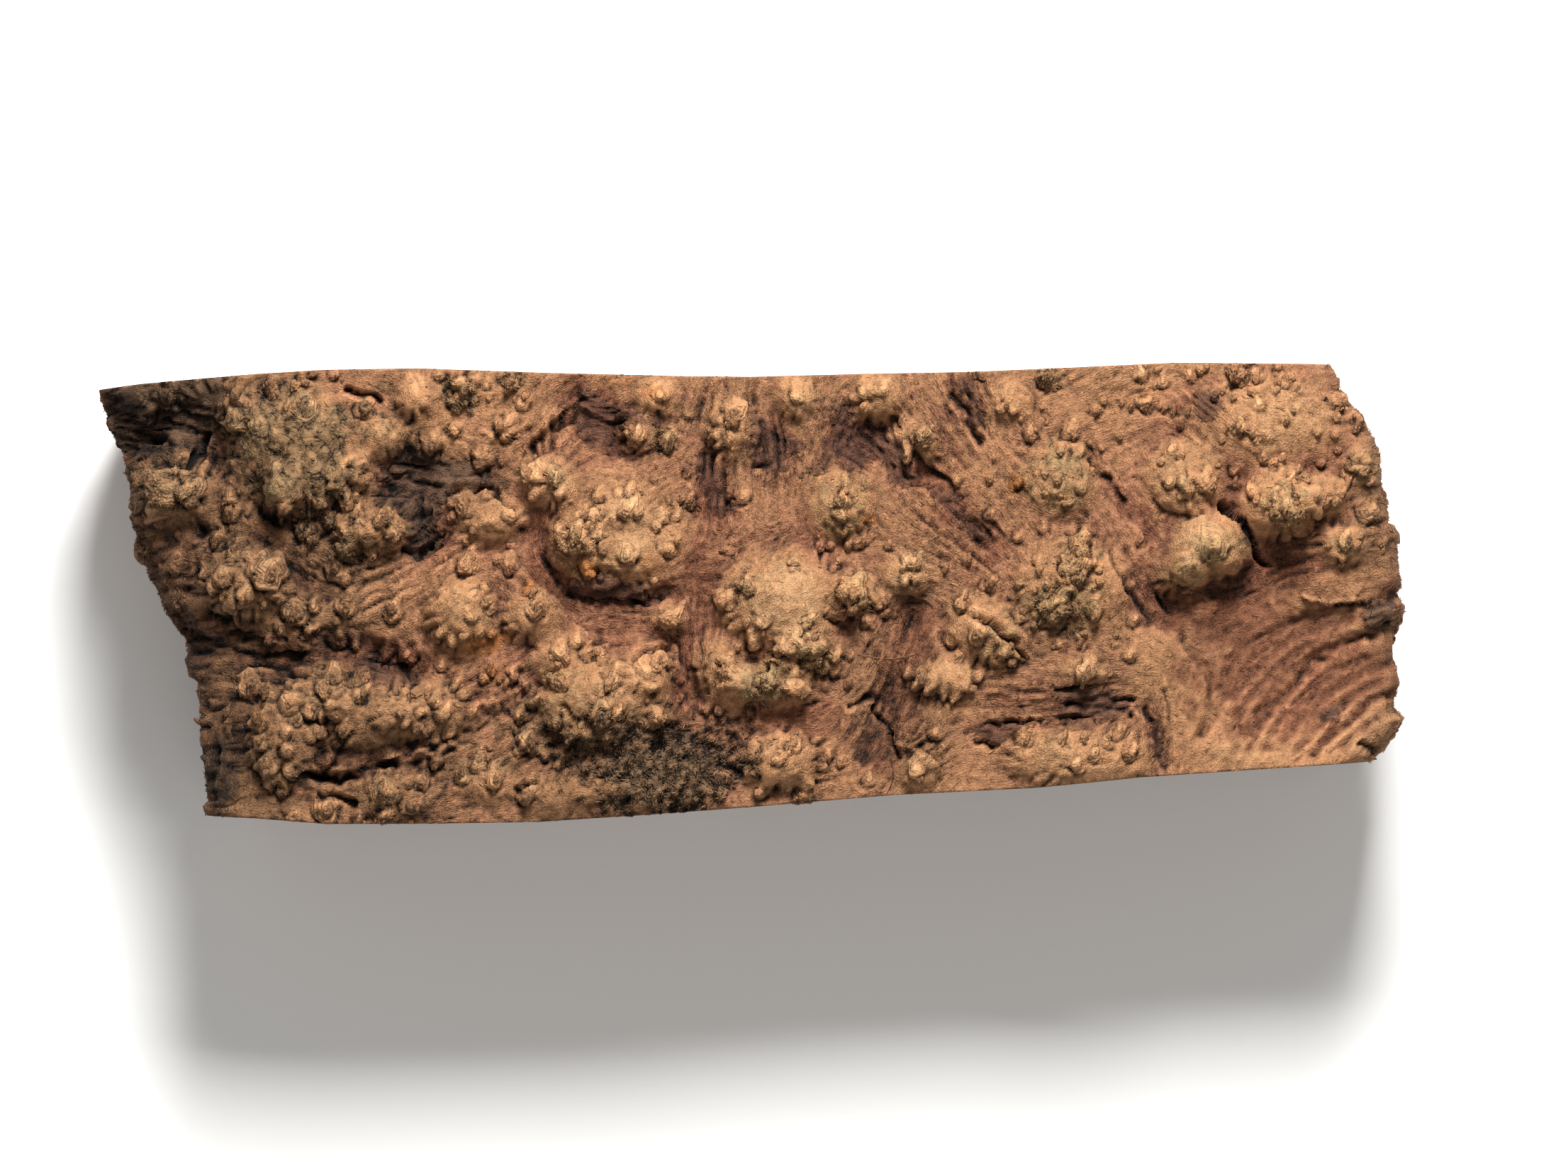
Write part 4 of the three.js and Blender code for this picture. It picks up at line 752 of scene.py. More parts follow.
def end_falls(columns, left_columns, right_columns):
    """For each mesh column: mm in from the left and right outline, share of height, share along."""
    inset_left, inset_right = np.full(columns, LEFT_FALL[-1][0]), np.full(columns, RIGHT_FALL[-1][0])
    share = np.ones(columns)
    left = smooth_through(LEFT_FALL, np.linspace(0, 1, left_columns))
    right = smooth_through(RIGHT_FALL, np.linspace(0, 1, right_columns))[::-1]
    inset_left[:left_columns], share[:left_columns] = left[:, 0], left[:, 1] / LEFT_FALL[-1][1]
    inset_right[-right_columns:], share[-right_columns:] = right[:, 0], right[:, 1] / RIGHT_FALL[-1][1]
    face_columns = columns - left_columns - right_columns + 1
    along = np.clip((np.arange(columns) - left_columns + 1) / face_columns, 0, 1)
    return inset_left, inset_right, np.clip(share, 0, 1), along


def natural_surface(rind, shape):
    """Points of the whole natural skin, end foot to end foot, with where each lies on the raster."""
    columns, rows = shape.columns + 1, shape.rows + 1
    inset_left, inset_right, share, along = end_falls(columns, shape.end_columns, shape.end_columns)
    inset_left, inset_right, share, along = (a[:, None] for a in (inset_left, inset_right, share, along))
    across = np.linspace(0, 1, rows)[None, :]
    ragged = fade(share, 0, 0.55)
    x = -78 + along * 166 + 0 * across
    for _ in range(6):
        y = follow(NEAR_EDGE, x) * (1 - across) + follow(FAR_EDGE, x) * across
        left = follow(LEFT_FOOT, y) * (1 - ragged) + follow(LEFT_END, y) * ragged + inset_left
        right = follow(RIGHT_FOOT, y) * (1 - ragged) + follow(RIGHT_END, y) * ragged - inset_right
        x = left * (1 - along) + right * along
    side = np.where(along < 0.5, -1.0, 1.0)
    flat_x = x + side * np.clip(SHOULDER - share, 0, 1) * GROUND
    points = np.stack([x, y, share * sample(rind["form"], x, y)], axis=-1)
    normal = np.cross(np.gradient(points, axis=0), np.gradient(points, axis=1))
    normal /= np.linalg.norm(normal, axis=-1, keepdims=True)
    lie = normal.copy()
    normal[..., 1] *= fade(across, 0, 0.03) * fade(1 - across, 0, 0.03)
    foot = fade(share, 0, 0.06)
    points = points + normal * (sample(rind["relief"], flat_x, y) * foot)[..., None]
    low, high = follow(NEAR_EDGE, points[..., 0]), follow(FAR_EDGE, points[..., 0])
    points[..., 1] = np.clip(points[..., 1], low, high)
    points[:, 0, 1], points[:, -1, 1] = low[:, 0], high[:, -1]
    points[..., 2] = np.clip(points[..., 2], 0, None)
    points[0, :, 2] = points[-1, :, 2] = 0
    normal = np.cross(np.gradient(points, axis=0), np.gradient(points, axis=1))
    normal /= np.linalg.norm(normal, axis=-1, keepdims=True)
    return {
        "points": points, "normal": normal, "lie": lie,
        "flat_x": flat_x, "y": y + 0 * x, "share": share + 0 * x,
    }


def skin_with_tones(surface, rind):
    """Adds to the skin how far apart its vertices are, which way the grain runs and every tone."""
    points = surface["points"]
    surface["along_step"] = np.linalg.norm(np.gradient(points, axis=0), axis=-1)
    surface["across_step"] = np.linalg.norm(np.gradient(points, axis=1), axis=-1)
    flat_x, y = surface["flat_x"], surface["y"]
    cos, sin = sample(rind["grain"][0], flat_x, y), sample(rind["grain"][1], flat_x, y)
    surface["grain"] = np.arctan2(sin, cos)
    surface["tones"] = {name: sample(layer, flat_x, y) for name, layer in rind["tones"].items()}
    return surface


_worked = {}                # the skin, kept so that each operator doesn't work it out again


def worked_skin(shape):
    """The natural skin for these settings."""
    key = tuple(getattr(shape, name) for name in shape.__annotations__)
    if _worked.get("key") != key:
        rind = work_out_rind(shape)
        _worked.update(key=key, skin=skin_with_tones(natural_surface(rind, shape), rind))
    return _worked["skin"]


def sawn_side(skin, edge, row, shape):
    """Points of one sawn side, from the edge of the rind straight down to the back."""
    top = skin["points"][:, row]
    down = np.arange(shape.side_rows + 1) / shape.side_rows
    foot = np.linspace(top[0, 0], top[-1, 0], len(top))
    x = top[:, None, 0] * (1 - down) + foot[:, None] * down
    y = follow(edge, x)
    y[:, 0] = top[:, 1]
    return np.stack([x, y, top[:, None, 2] * (1 - down)], axis=-1)


OUTLINE_MIDDLE = np.array([
    (min(p[1] for p in LEFT_END) + max(p[1] for p in RIGHT_END)) / 2,
    (min(p[1] for p in NEAR_EDGE) + max(p[1] for p in FAR_EDGE)) / 2,
    0,
])


def into_place(points):
    """Millimetres of the rind's own layout to metres of the CAD block's frame."""
    return ((points - OUTLINE_MIDDLE) * MM).astype(np.float32)


def set_layer(mesh, name, values):
    """Keeps a number for each vertex under a name that the materials read."""
    layer = mesh.attributes.new(name, "FLOAT", "POINT")
    layer.data.foreach_set("value", np.ascontiguousarray(values, np.float32).ravel())


def unit_skin(shape):
    """The block's faces as a flat grid of unit steps, with its two long rims extruded downwards."""
    bm = bmesh.new()
    bmesh.ops.create_grid(bm, x_segments=shape.columns, y_segments=shape.rows, size=1)
    for side in (-1, 1):
        rim = [e for e in bm.edges if all(v.co.y * side > 0.99999 and v.co.z == 0 for v in e.verts)]
        for down in range(1, shape.side_rows + 1):
            made = bmesh.ops.extrude_edge_only(bm, edges=rim)["geom"]
            for vert in (g for g in made if isinstance(g, bmesh.types.BMVert)):
                vert.co.z = -down
            edges = (g for g in made if isinstance(g, bmesh.types.BMEdge))
            rim = [e for e in edges if all(v.co.z == -down for v in e.verts)]
    mesh = bpy.data.meshes.new("burl")
    bm.to_mesh(mesh)
    bm.free()
    return mesh


def close_back(mesh):
    """Welds the ends' feet, saws the back flat and turns every face outwards."""
    bm = bmesh.new()
    bm.from_mesh(mesh)
    bmesh.ops.remove_doubles(bm, verts=bm.verts, dist=1e-7)
    rim = [e for e in bm.edges if e.is_boundary]
    back = bmesh.ops.contextual_create(bm, geom=rim, mat_nr=1)["faces"]
    if len(back) != 1:
        raise RuntimeError("the sawn back didn't close")
    bmesh.ops.triangulate(bm, faces=back)
    bmesh.ops.recalc_face_normals(bm, faces=bm.faces)
    bm.to_mesh(mesh)
    bm.free()


def make_block(skin, shape):
    """The whole block as one closed mesh, rind and sawn faces with a material each."""
    mesh = unit_skin(shape)
    unit = np.empty(len(mesh.vertices) * 3, np.float32)
    mesh.vertices.foreach_get("co", unit)
    unit = unit.reshape(-1, 3)
    column = np.rint((unit[:, 0] + 1) / 2 * shape.columns).astype(int)
    row = np.rint((unit[:, 1] + 1) / 2 * shape.rows).astype(int)
    down = np.rint(-unit[:, 2]).astype(int)
    near = sawn_side(skin, NEAR_EDGE, 0, shape)
    far = sawn_side(skin, FAR_EDGE, -1, shape)
    points = np.where((row == 0)[:, None], near[column, down], far[column, down])
    points = np.where((down == 0)[:, None], skin["points"][column, row], points)
    mesh.vertices.foreach_set("co", into_place(points).ravel())
    for name, values in skin["tones"].items():
        set_layer(mesh, name, values[column, row])
    set_layer(mesh, "strand", np.full(len(points), 0.5))
    set_layer(mesh, "fibre", np.zeros(len(points)))
    set_layer(mesh, "depth", skin["points"][column, row, 2] - points[:, 2])
    corners = np.empty(len(mesh.loops), np.int32)
    mesh.loops.foreach_get("vertex_index", corners)
    sawn = (down[corners.reshape(-1, 4)] > 0).any(axis=1)
    mesh.polygons.foreach_set("material_index", sawn.astype(np.int32))
    mesh.update()
    close_back(mesh)
    kind = np.empty(len(mesh.polygons), np.int32)
    mesh.polygons.foreach_get("material_index", kind)
    mesh.polygons.foreach_set("use_smooth", kind == 0)
    mesh.update()
    return mesh


def between(layer, column, row):
    """A skin layer's values between its vertices."""
    c = np.clip(column.astype(int), 0, layer.shape[0] - 2)
    r = np.clip(row.astype(int), 0, layer.shape[1] - 2)
    s, t = column - c, row - r
    if layer.ndim == 3:
        s, t = s[..., None], t[..., None]
    low = layer[c, r] * (1 - s) + layer[c + 1, r] * s
    high = layer[c, r + 1] * (1 - s) + layer[c + 1, r + 1] * s
    return low * (1 - t) + high * t


LEAST_STEP = 0.08           # mesh steps count as at least this long, mm
FLOOR_GAP = 0.15            # strands stay this far over the floor, mm


def unit_length(vectors):
    """The same directions with a length of 1."""
    return vectors / np.maximum(np.linalg.norm(vectors, axis=-1, keepdims=True), 1e-9)


def scatter(skin, count, weight, rng):
    """Random places on the skin, as many to an area as the weight says."""
    cell = skin["along_step"] * skin["across_step"] * np.clip(weight, 0, None)
    cell[-1, :] = cell[:, -1] = 0
    picked = rng.choice(cell.size, size=count, p=cell.ravel() / cell.sum())
    column, row = np.unravel_index(picked, cell.shape)
    return column + rng.random(count), row + rng.random(count)


def lay_strands(skin, column, row, rng, length, lift, spread, curl, joints, hang=False, root=-0.04):
    """Paths of strands that start at places of the skin and follow it along the grain, or hang down
    its slope: points and the skin's normal at each."""
    count = len(column)
    span = rng.uniform(*length, count)
    if hang:
        slope = between(skin["normal"], column, row)
        angle = np.arctan2(slope[:, 1], slope[:, 0]) + rng.normal(0, spread, count)
    else:
        angle = between(skin["grain"], np.rint(column), np.rint(row)) + rng.normal(0, spread, count)
        angle += np.where(rng.random(count) < 0.5, math.pi, 0)
    bend = rng.normal(0, curl, count)
    rise = rng.uniform(*lift, count)
    along, across = between(skin["along_step"], column, row), between(skin["across_step"], column, row)
    c, r = column.copy(), row.copy()
    points, normals = [], []
    for k in range(joints):
        share = k / (joints - 1)
        normal = unit_length(between(skin["normal"], c, r))
        height = root + (rise - root) * share**1.3
        point = between(skin["points"], c, r) + normal * height[:, None]
        point[:, 2] = np.clip(point[:, 2], FLOOR_GAP, None)
        points.append(point)
        normals.append(normal)
        turn = angle + bend * share
        c = c + span / (joints - 1) * np.cos(turn) / np.maximum(along, LEAST_STEP)
        r = r + span / (joints - 1) * np.sin(turn) / np.maximum(across, LEAST_STEP)
        c, r = np.clip(c, 0, skin["grain"].shape[0] - 1), np.clip(r, 0, skin["grain"].shape[1] - 1)
    return np.stack(points, axis=1), np.stack(normals, axis=1)


def joined_mesh(name, points, faces, tones):
    """One mesh of many like bodies: their points by body, the faces of one, and each body's or each
    point's tones."""
    count, each = points.shape[:2]
    corners = (np.array(faces)[None] + (np.arange(count) * each)[:, None, None]).astype(np.int32)
    mesh = bpy.data.meshes.new(name)
    mesh.vertices.add(count * each)
    mesh.vertices.foreach_set("co", into_place(points.reshape(-1, 3)).ravel())
    mesh.loops.add(corners.size)
    mesh.loops.foreach_set("vertex_index", corners.ravel())
    mesh.polygons.add(corners.size // 3)
    mesh.polygons.foreach_set("loop_start", np.arange(0, corners.size, 3, dtype=np.int32))
    mesh.update(calc_edges=True)
    for tone, values in tones.items():
        set_layer(mesh, tone, np.repeat(values, each) if values.ndim == 1 else values)
    mesh.polygons.foreach_set("use_smooth", np.ones(len(mesh.polygons), bool))
    mesh.update()
    return mesh


def strand_mesh(name, paths, normals, width, thickness, tones, rng):
    """One mesh of many three-sided strands, closed at the root and drawn to a point at the tip."""
    count, joints = paths.shape[:2]
    heading = unit_length(np.gradient(paths, axis=1))
    side = unit_length(np.cross(heading, normals))
    up = np.cross(side, heading)
    rings = joints - 1
    share = np.arange(rings) / joints
    taper = (0.55 + 0.9 * share * (1 - share) * 2)[None, :, None] * (1 - 0.35 * share)[None, :, None]
    half, rise = width[:, None, None] / 2 * taper, thickness[:, None, None] * taper
    body = paths[:, :rings]
    ring = np.stack([
        body - side[:, :rings] * half, body + side[:, :rings] * half, body + up[:, :rings] * rise,
    ], axis=2)
    points = np.concatenate([ring.reshape(count, rings * 3, 3), paths[:, -1:]], axis=1)
    faces = [(0, 1, 2)]
    for k in range(rings - 1):
        a, b, c = 3 * k, 3 * k + 1, 3 * k + 2
        for p, q in ((a, b), (b, c), (c, a)):
            faces += [(p, p + 3, q + 3), (p, q + 3, q)]
    a, b, c, tip = 3 * rings - 3, 3 * rings - 2, 3 * rings - 1, 3 * rings
    faces += [(a, tip, b), (b, tip, c), (c, tip, a)]
    own = {"strand": np.clip(rng.normal(0.5, 0.25, count), 0, 1), "fibre": np.ones(count)}
    return joined_mesh(name, points, faces, {**tones, **own})


def bud_mesh(name, skin, buds, sides, rings, settings, rng):
    """One mesh of many buds: each is a dome that leans a little towards the near side and is closed
    under the rind."""
    x, y, radius = (np.array([bud[n] for bud in buds]) for n in range(3))
    kinds = ["".join(bud[3:]) for bud in buds]
    low, eye, torn = (np.array([letter in kind for kind in kinds], float) for letter in "ler")
    places = [nearest_place(skin, *spot) for spot in zip(x, y)]
    column, row = (np.array([place[n] for place in places]) for n in (0, 1))
    foot, axis = skin["points"][column, row], skin["lie"][column, row]
    near = np.array([-0.25, -1.0, 0.0])
    near = unit_length(near - axis * (axis @ near)[:, None])
    axis = unit_length(axis + (settings.bud_lean * rng.uniform(0.5, 1.3, len(buds)))[:, None] * near)
    near = unit_length(near - axis * np.sum(axis * near, axis=1, keepdims=True))
    side = np.cross(axis, near)
    radius = radius[:, None, None]
    height = settings.knob_height / MM * radius**KNOB_GROWTH * (1 - 0.4 * low)[:, None, None]
    foot = foot - axis * height[:, 0] * 0.2
    tilt = np.linspace(-0.5, math.pi / 2, rings + 1)[None, :-1, None]
    turn = (np.arange(sides) / sides * 2 * math.pi)[None, None, :]
    out, up = np.cos(tilt), np.sign(np.sin(tilt)) * np.abs(np.sin(tilt)) ** 0.85
    shape, count = (len(buds), rings, sides), len(buds)
    wave = 1 + sum(
        size * np.cos(n * turn + rng.uniform(0, 6.3, (count, 1, 1)))
        for n, size in ((2, 0.16), (3, 0.12), (5, 0.08)))
    uneven = 0.03 + 0.1 * torn[:, None, None]
    drawn = rng.uniform(1.0, 1.6, (count, 1, 1))
    folds = sum(
        size * np.cos(n * turn + steps * tilt + rng.uniform(0, 6.3, (count, 1, 1)))
        for n, steps, size in ((3, 2.5, 0.07), (4, -3, 0.06), (6, 4, 0.05), (0, 7, 0.05)))
    across = radius * out * wave * (1 + folds + rng.normal(0, 1, shape) * uneven)
    rim = 0.22 * np.exp(-(((out - 0.68) / 0.12) ** 2))
    dimple = eye[:, None, None] * (0.4 * np.exp(-((out / 0.3) ** 2)) + rim)
    above = height * (up - dimple + folds * up + rng.normal(0, 1, shape) * uneven)
    body = (near[:, None, None] * (across * np.cos(turn) * drawn)[..., None]
            + side[:, None, None] * (across * np.sin(turn) / drawn)[..., None]
            + axis[:, None, None] * above[..., None])
    body += foot[:, None, None]
    top = foot + axis * (height[:, 0] * (1 - 0.35 * eye[:, None]))
    bottom = foot - axis * (0.7 * height[:, 0])
    points = np.concatenate([body.reshape(count, rings * sides, 3), top[:, None], bottom[:, None]], axis=1)
    near_edge, far_edge = (follow(edge, points[..., 0]) for edge in (NEAR_EDGE, FAR_EDGE))
    points[..., 1] = np.clip(points[..., 1], near_edge, far_edge)
    points[..., 2] = np.clip(points[..., 2], 0.1, None)
    faces = []
    for j in range(sides):
        after = (j + 1) % sides
        for k in range(rings - 1):
            a, b, c, d = k * sides + j, k * sides + after, (k + 1) * sides + after, (k + 1) * sides + j
            faces += [(a, b, c), (a, c, d)]
        last = (rings - 1) * sides
        faces += [(last + j, last + after, rings * sides), (after, j, rings * sides + 1)]
    # Painted shade: each bud is darker low down, most of all on its near side, darker in its eye and fold
    # grooves and lighter on its fold ridges
    near_side_shade = np.clip(1 - (up + 0.1) * 1.7, 0, 1) * (0.55 + 0.45 * np.cos(turn)) + 0 * wave
    dent = 0.44 + 0.42 * near_side_shade + 0.8 * dimple - 0.8 * folds
    dent = np.concatenate([dent.reshape(count, -1), 0.42 + 0.2 * eye[:, None], np.ones((count, 1))], axis=1)
    # Painted highlight: the bud's upper part counts as a knob top and is painted lighter
    crown_highlight = np.concatenate([np.broadcast_to(np.clip(up, 0, 1) * 0.5, shape).reshape(count, -1),
                            np.full((count, 1), 0.5), np.zeros((count, 1))], axis=1)
    ring = np.clip(radius * (1.15 - out) + 0 * wave, 0, None)
    ring = np.concatenate([ring.reshape(count, -1), radius[:, 0] * 1.15, np.zeros((count, 1))], axis=1)
    tones = {tone: layer[column, row] for tone, layer in skin["tones"].items()}
    tones.update(ring=ring, dent=dent, tops=crown_highlight, fibre=np.zeros(count))
    tones["strand"] = np.clip(rng.normal(0.5, 0.12, count), 0, 1)
    return joined_mesh(name, points, faces, tones)


def add_piece(name, mesh, *materials):
    """A finished piece of the block: it rides on the block and takes its finish from the wood."""
    piece = bpy.data.objects.new(name, mesh)
    for material in materials:
        mesh.materials.append(material)
    bpy.context.scene.collection.objects.link(piece)
    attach(piece, "root")
    return piece


def add_strands(name, skin, weight, count, kind, seed, joints=3):
    """Scatters one kind of strand over the skin and makes it a piece."""
    rng = np.random.default_rng(seed)
    column, row = scatter(skin, count, weight, rng)
    paths, normals = lay_strands(skin, column, row, rng, kind["length"], kind["lift"], kind["spread"],
                                 kind["curl"], joints, kind.get("hang", False))
    width = rng.uniform(*kind["width"], count)
    thickness = width * rng.uniform(*kind["thickness"], count)
    tones = {tone: between(layer, column, row) for tone, layer in skin["tones"].items()}
    mesh = strand_mesh(name, paths, normals, width, thickness, tones, rng)
    return add_piece(name, mesh, rind_finish(bpy.context.scene.briar_tones))


def nearest_place(skin, x, y):
    """The skin's column and row that lie nearest to a place of the rind's layout."""
    away = (skin["flat_x"] - x) ** 2 + (skin["y"] - y) ** 2
    return np.unravel_index(np.argmin(away), away.shape)


def hair_paths(skin, joints, clear):
    """Paths of the long hairs, clear of the rind by so many mm, with the way up at each point."""
    paths = []
    for hair in HAIRS:
        line = smooth_through(hair, np.linspace(0, 1, joints))
        ground = [skin["points"][nearest_place(skin, x, y)][2] for x, y in line]
        level = np.convolve(np.pad(ground, 2, mode="edge"), np.full(5, 0.2), "valid")
        paths.append(np.column_stack([line, np.maximum(level, ground) + clear]))
    paths = np.array(paths)
    return paths, np.broadcast_to([0.0, 0.0, 1.0], paths.shape)


class Wire:
    """A value from a node that + - * / act on, by adding Math nodes."""

    def __init__(self, finish, socket):
        self.finish = finish
        self.socket = socket

    def maths(self, operation, first, second):
        """One Math node on two values."""
        return self.finish.node("ShaderNodeMath", {"operation": operation}, {0: first, 1: second})

    def __add__(self, other):
        return self.maths("ADD", self, other)

    __radd__ = __add__

    def __sub__(self, other):
        return self.maths("SUBTRACT", self, other)

    def __rsub__(self, other):
        return self.maths("SUBTRACT", other, self)

    def __mul__(self, other):
        return self.maths("MULTIPLY", self, other)

    __rmul__ = __mul__

    def __truediv__(self, other):
        return self.maths("DIVIDE", self, other)

    def __rtruediv__(self, other):
        return self.maths("DIVIDE", other, self)


class Finish:
    """A material under way: every node comes from its node method."""

    def __init__(self, name):
        self.material = bpy.data.materials.new(name)
        self.material.use_nodes = True
        self.tree = self.material.node_tree
        self.tree.nodes.clear()
        self.place = self.node("ShaderNodeTexCoord", output="Object")

    def node(self, kind, settings=None, inputs=None, output=0):
        """Adds a node: its settings first, then the values or links of its sockets."""
        node = self.tree.nodes.new(kind)
        for name, value in (settings or {}).items():
            setattr(node, name, value)
        for socket, value in (inputs or {}).items():
            if isinstance(value, Wire):
                self.tree.links.new(value.socket, node.inputs[socket])
            else:
                node.inputs[socket].default_value = value
        return Wire(self, node.outputs[output]) if node.outputs else None

    def layer(self, name):
        """A number that the mesh keeps for each vertex."""
        return self.node("ShaderNodeAttribute", {"attribute_name": name}, output="Fac")

    def grain(self, size, detail=2.0, roughness=0.55, stretch=(1, 1, 1)):
        """Noise from 0 to 1 with lumps of a size in mm."""
        scaled = self.node("ShaderNodeMapping", {"vector_type": "POINT"}, {0: self.place, 3: stretch})
        inputs = {"Vector": scaled, "Scale": 1 / (size * MM), "Detail": detail, "Roughness": roughness}
        return self.node("ShaderNodeTexNoise", None, inputs)

    def wool(self, size):
        """Curled lines like felted fibre, from 0 to 1."""
        inputs = {"Vector": self.place, "Scale": 1 / (size * MM), "Detail": 2.0, "Roughness": 0.6}
        inputs["Distortion"] = 0.5
        lines = self.node("ShaderNodeTexNoise", {"noise_type": "RIDGED_MULTIFRACTAL"}, inputs)
        return self.fade(lines, 0.3, 1.5)

    def fissures(self, cell, width):
        """Thin wandering cracks, 1 in the crack and 0 beside it, between flakes of a size in mm."""
        noise = {"Vector": self.place, "Scale": 1.2 / (cell * MM), "Detail": 3.0, "Roughness": 0.6}
        bent = self.node("ShaderNodeTexNoise", None, noise, output="Color")
        spot = self.vector("MULTIPLY_ADD", bent, (cell * MM * 1.6,) * 3, self.place)
        edge = self.node("ShaderNodeTexVoronoi", {"feature": "DISTANCE_TO_EDGE"}, {
            "Vector": spot, "Scale": 1 / (cell * MM)})
        return 1 - self.fade(edge, 0.0, width / cell)

    def fibres(self, cell, length, width):
        """Noise drawn out along the wood's own grain, with streaks of a size in mm. It is laid in
        cells, and each cell's middle turns with the grain there."""
        turn = self.node("ShaderNodeMath", {"operation": "ARCTAN2"}, {
            0: self.layer("grain_sin"), 1: self.layer("grain_cos")}) * -0.5
        layers = []
        for offset in (0.0, 0.37):
            place = self.vector("ADD", self.place, (offset, offset * 0.7, 0))
            cells = {"Vector": place, "Scale": 1 / (cell * MM)}
            middle = self.node("ShaderNodeTexVoronoi", None, cells, output="Position")
            away = Wire(self, middle.socket.node.outputs["Distance"])
            chance = Wire(self, middle.socket.node.outputs["Color"])
            local = self.vector("SUBTRACT", place, middle)
            turned = self.node("ShaderNodeVectorRotate", {"rotation_type": "Z_AXIS"}, {
                "Vector": local, "Angle": turn})
            drawn = self.vector("MULTIPLY", turned, (1 / (length * MM), 1 / (width * MM), 1 / (width * MM)))
            moved = self.vector("MULTIPLY_ADD", chance, (90.0, 90.0, 90.0), drawn)
            streak = self.node("ShaderNodeTexNoise", None, {
                "Vector": moved, "Scale": 1.0, "Detail": 2.0, "Roughness": 0.6, "Distortion": 0.4})
            layers.append((streak, self.fade(0.75 - away, 0.0, 0.35)))
        (first, share), (second, _) = layers
        return first * share + second * (1 - share)

    def vector(self, operation, first, second, third=None):
        """Vector maths on two or three sockets or constants."""
        inputs = {0: first, 1: second} if third is None else {0: first, 1: second, 2: third}
        return self.node("ShaderNodeVectorMath", {"operation": operation}, inputs)

    def fade(self, value, low, high):
        """0 where the value is below low, 1 where it is above high, smooth between."""
        settings = {"interpolation_type": "SMOOTHSTEP", "clamp": True}
        return self.node("ShaderNodeMapRange", settings, {0: value, 1: low, 2: high})

    def over(self, under, top, share):
        """One colour laid over another as far as the share says."""
        settings = {"data_type": "RGBA", "clamp_factor": True}
        return self.node("ShaderNodeMix", settings, {0: share, 6: under, 7: top}, output=2)

    def tinted(self, colour, other, share, blend):
        """Two colours blended in one of the usual ways."""
        settings = {"data_type": "RGBA", "blend_type": blend, "clamp_factor": True}
        return self.node("ShaderNodeMix", settings, {0: share, 6: colour, 7: other}, output=2)

    def grey(self, value):
        """A value as a colour."""
        return self.node("ShaderNodeCombineColor", None, {0: value, 1: value, 2: value})

    def done(self, colour, roughness, height=None, bump_depth=0.1, **constants):
        """Feeds the shader and gives the finished material."""
        inputs = {"Base Color": colour, "Roughness": roughness, **constants}
        if height is not None:
            bump = {"Height": height, "Distance": bump_depth * MM, "Strength": 1.0}
            inputs["Normal"] = self.node("ShaderNodeBump", None, bump)
        shader = self.node("ShaderNodeBsdfPrincipled", None, inputs)
        self.node("ShaderNodeOutputMaterial", None, {0: shader})
        return self.material


def tint(red, green, blue):
    """A colour as a screen shows it, 0 to 255, as the linear light that a shader takes."""
    parts = (c / 255 for c in (red, green, blue))
    return tuple(c / 12.92 if c <= 0.04045 else ((c + 0.055) / 1.055) ** 2.4 for c in parts)


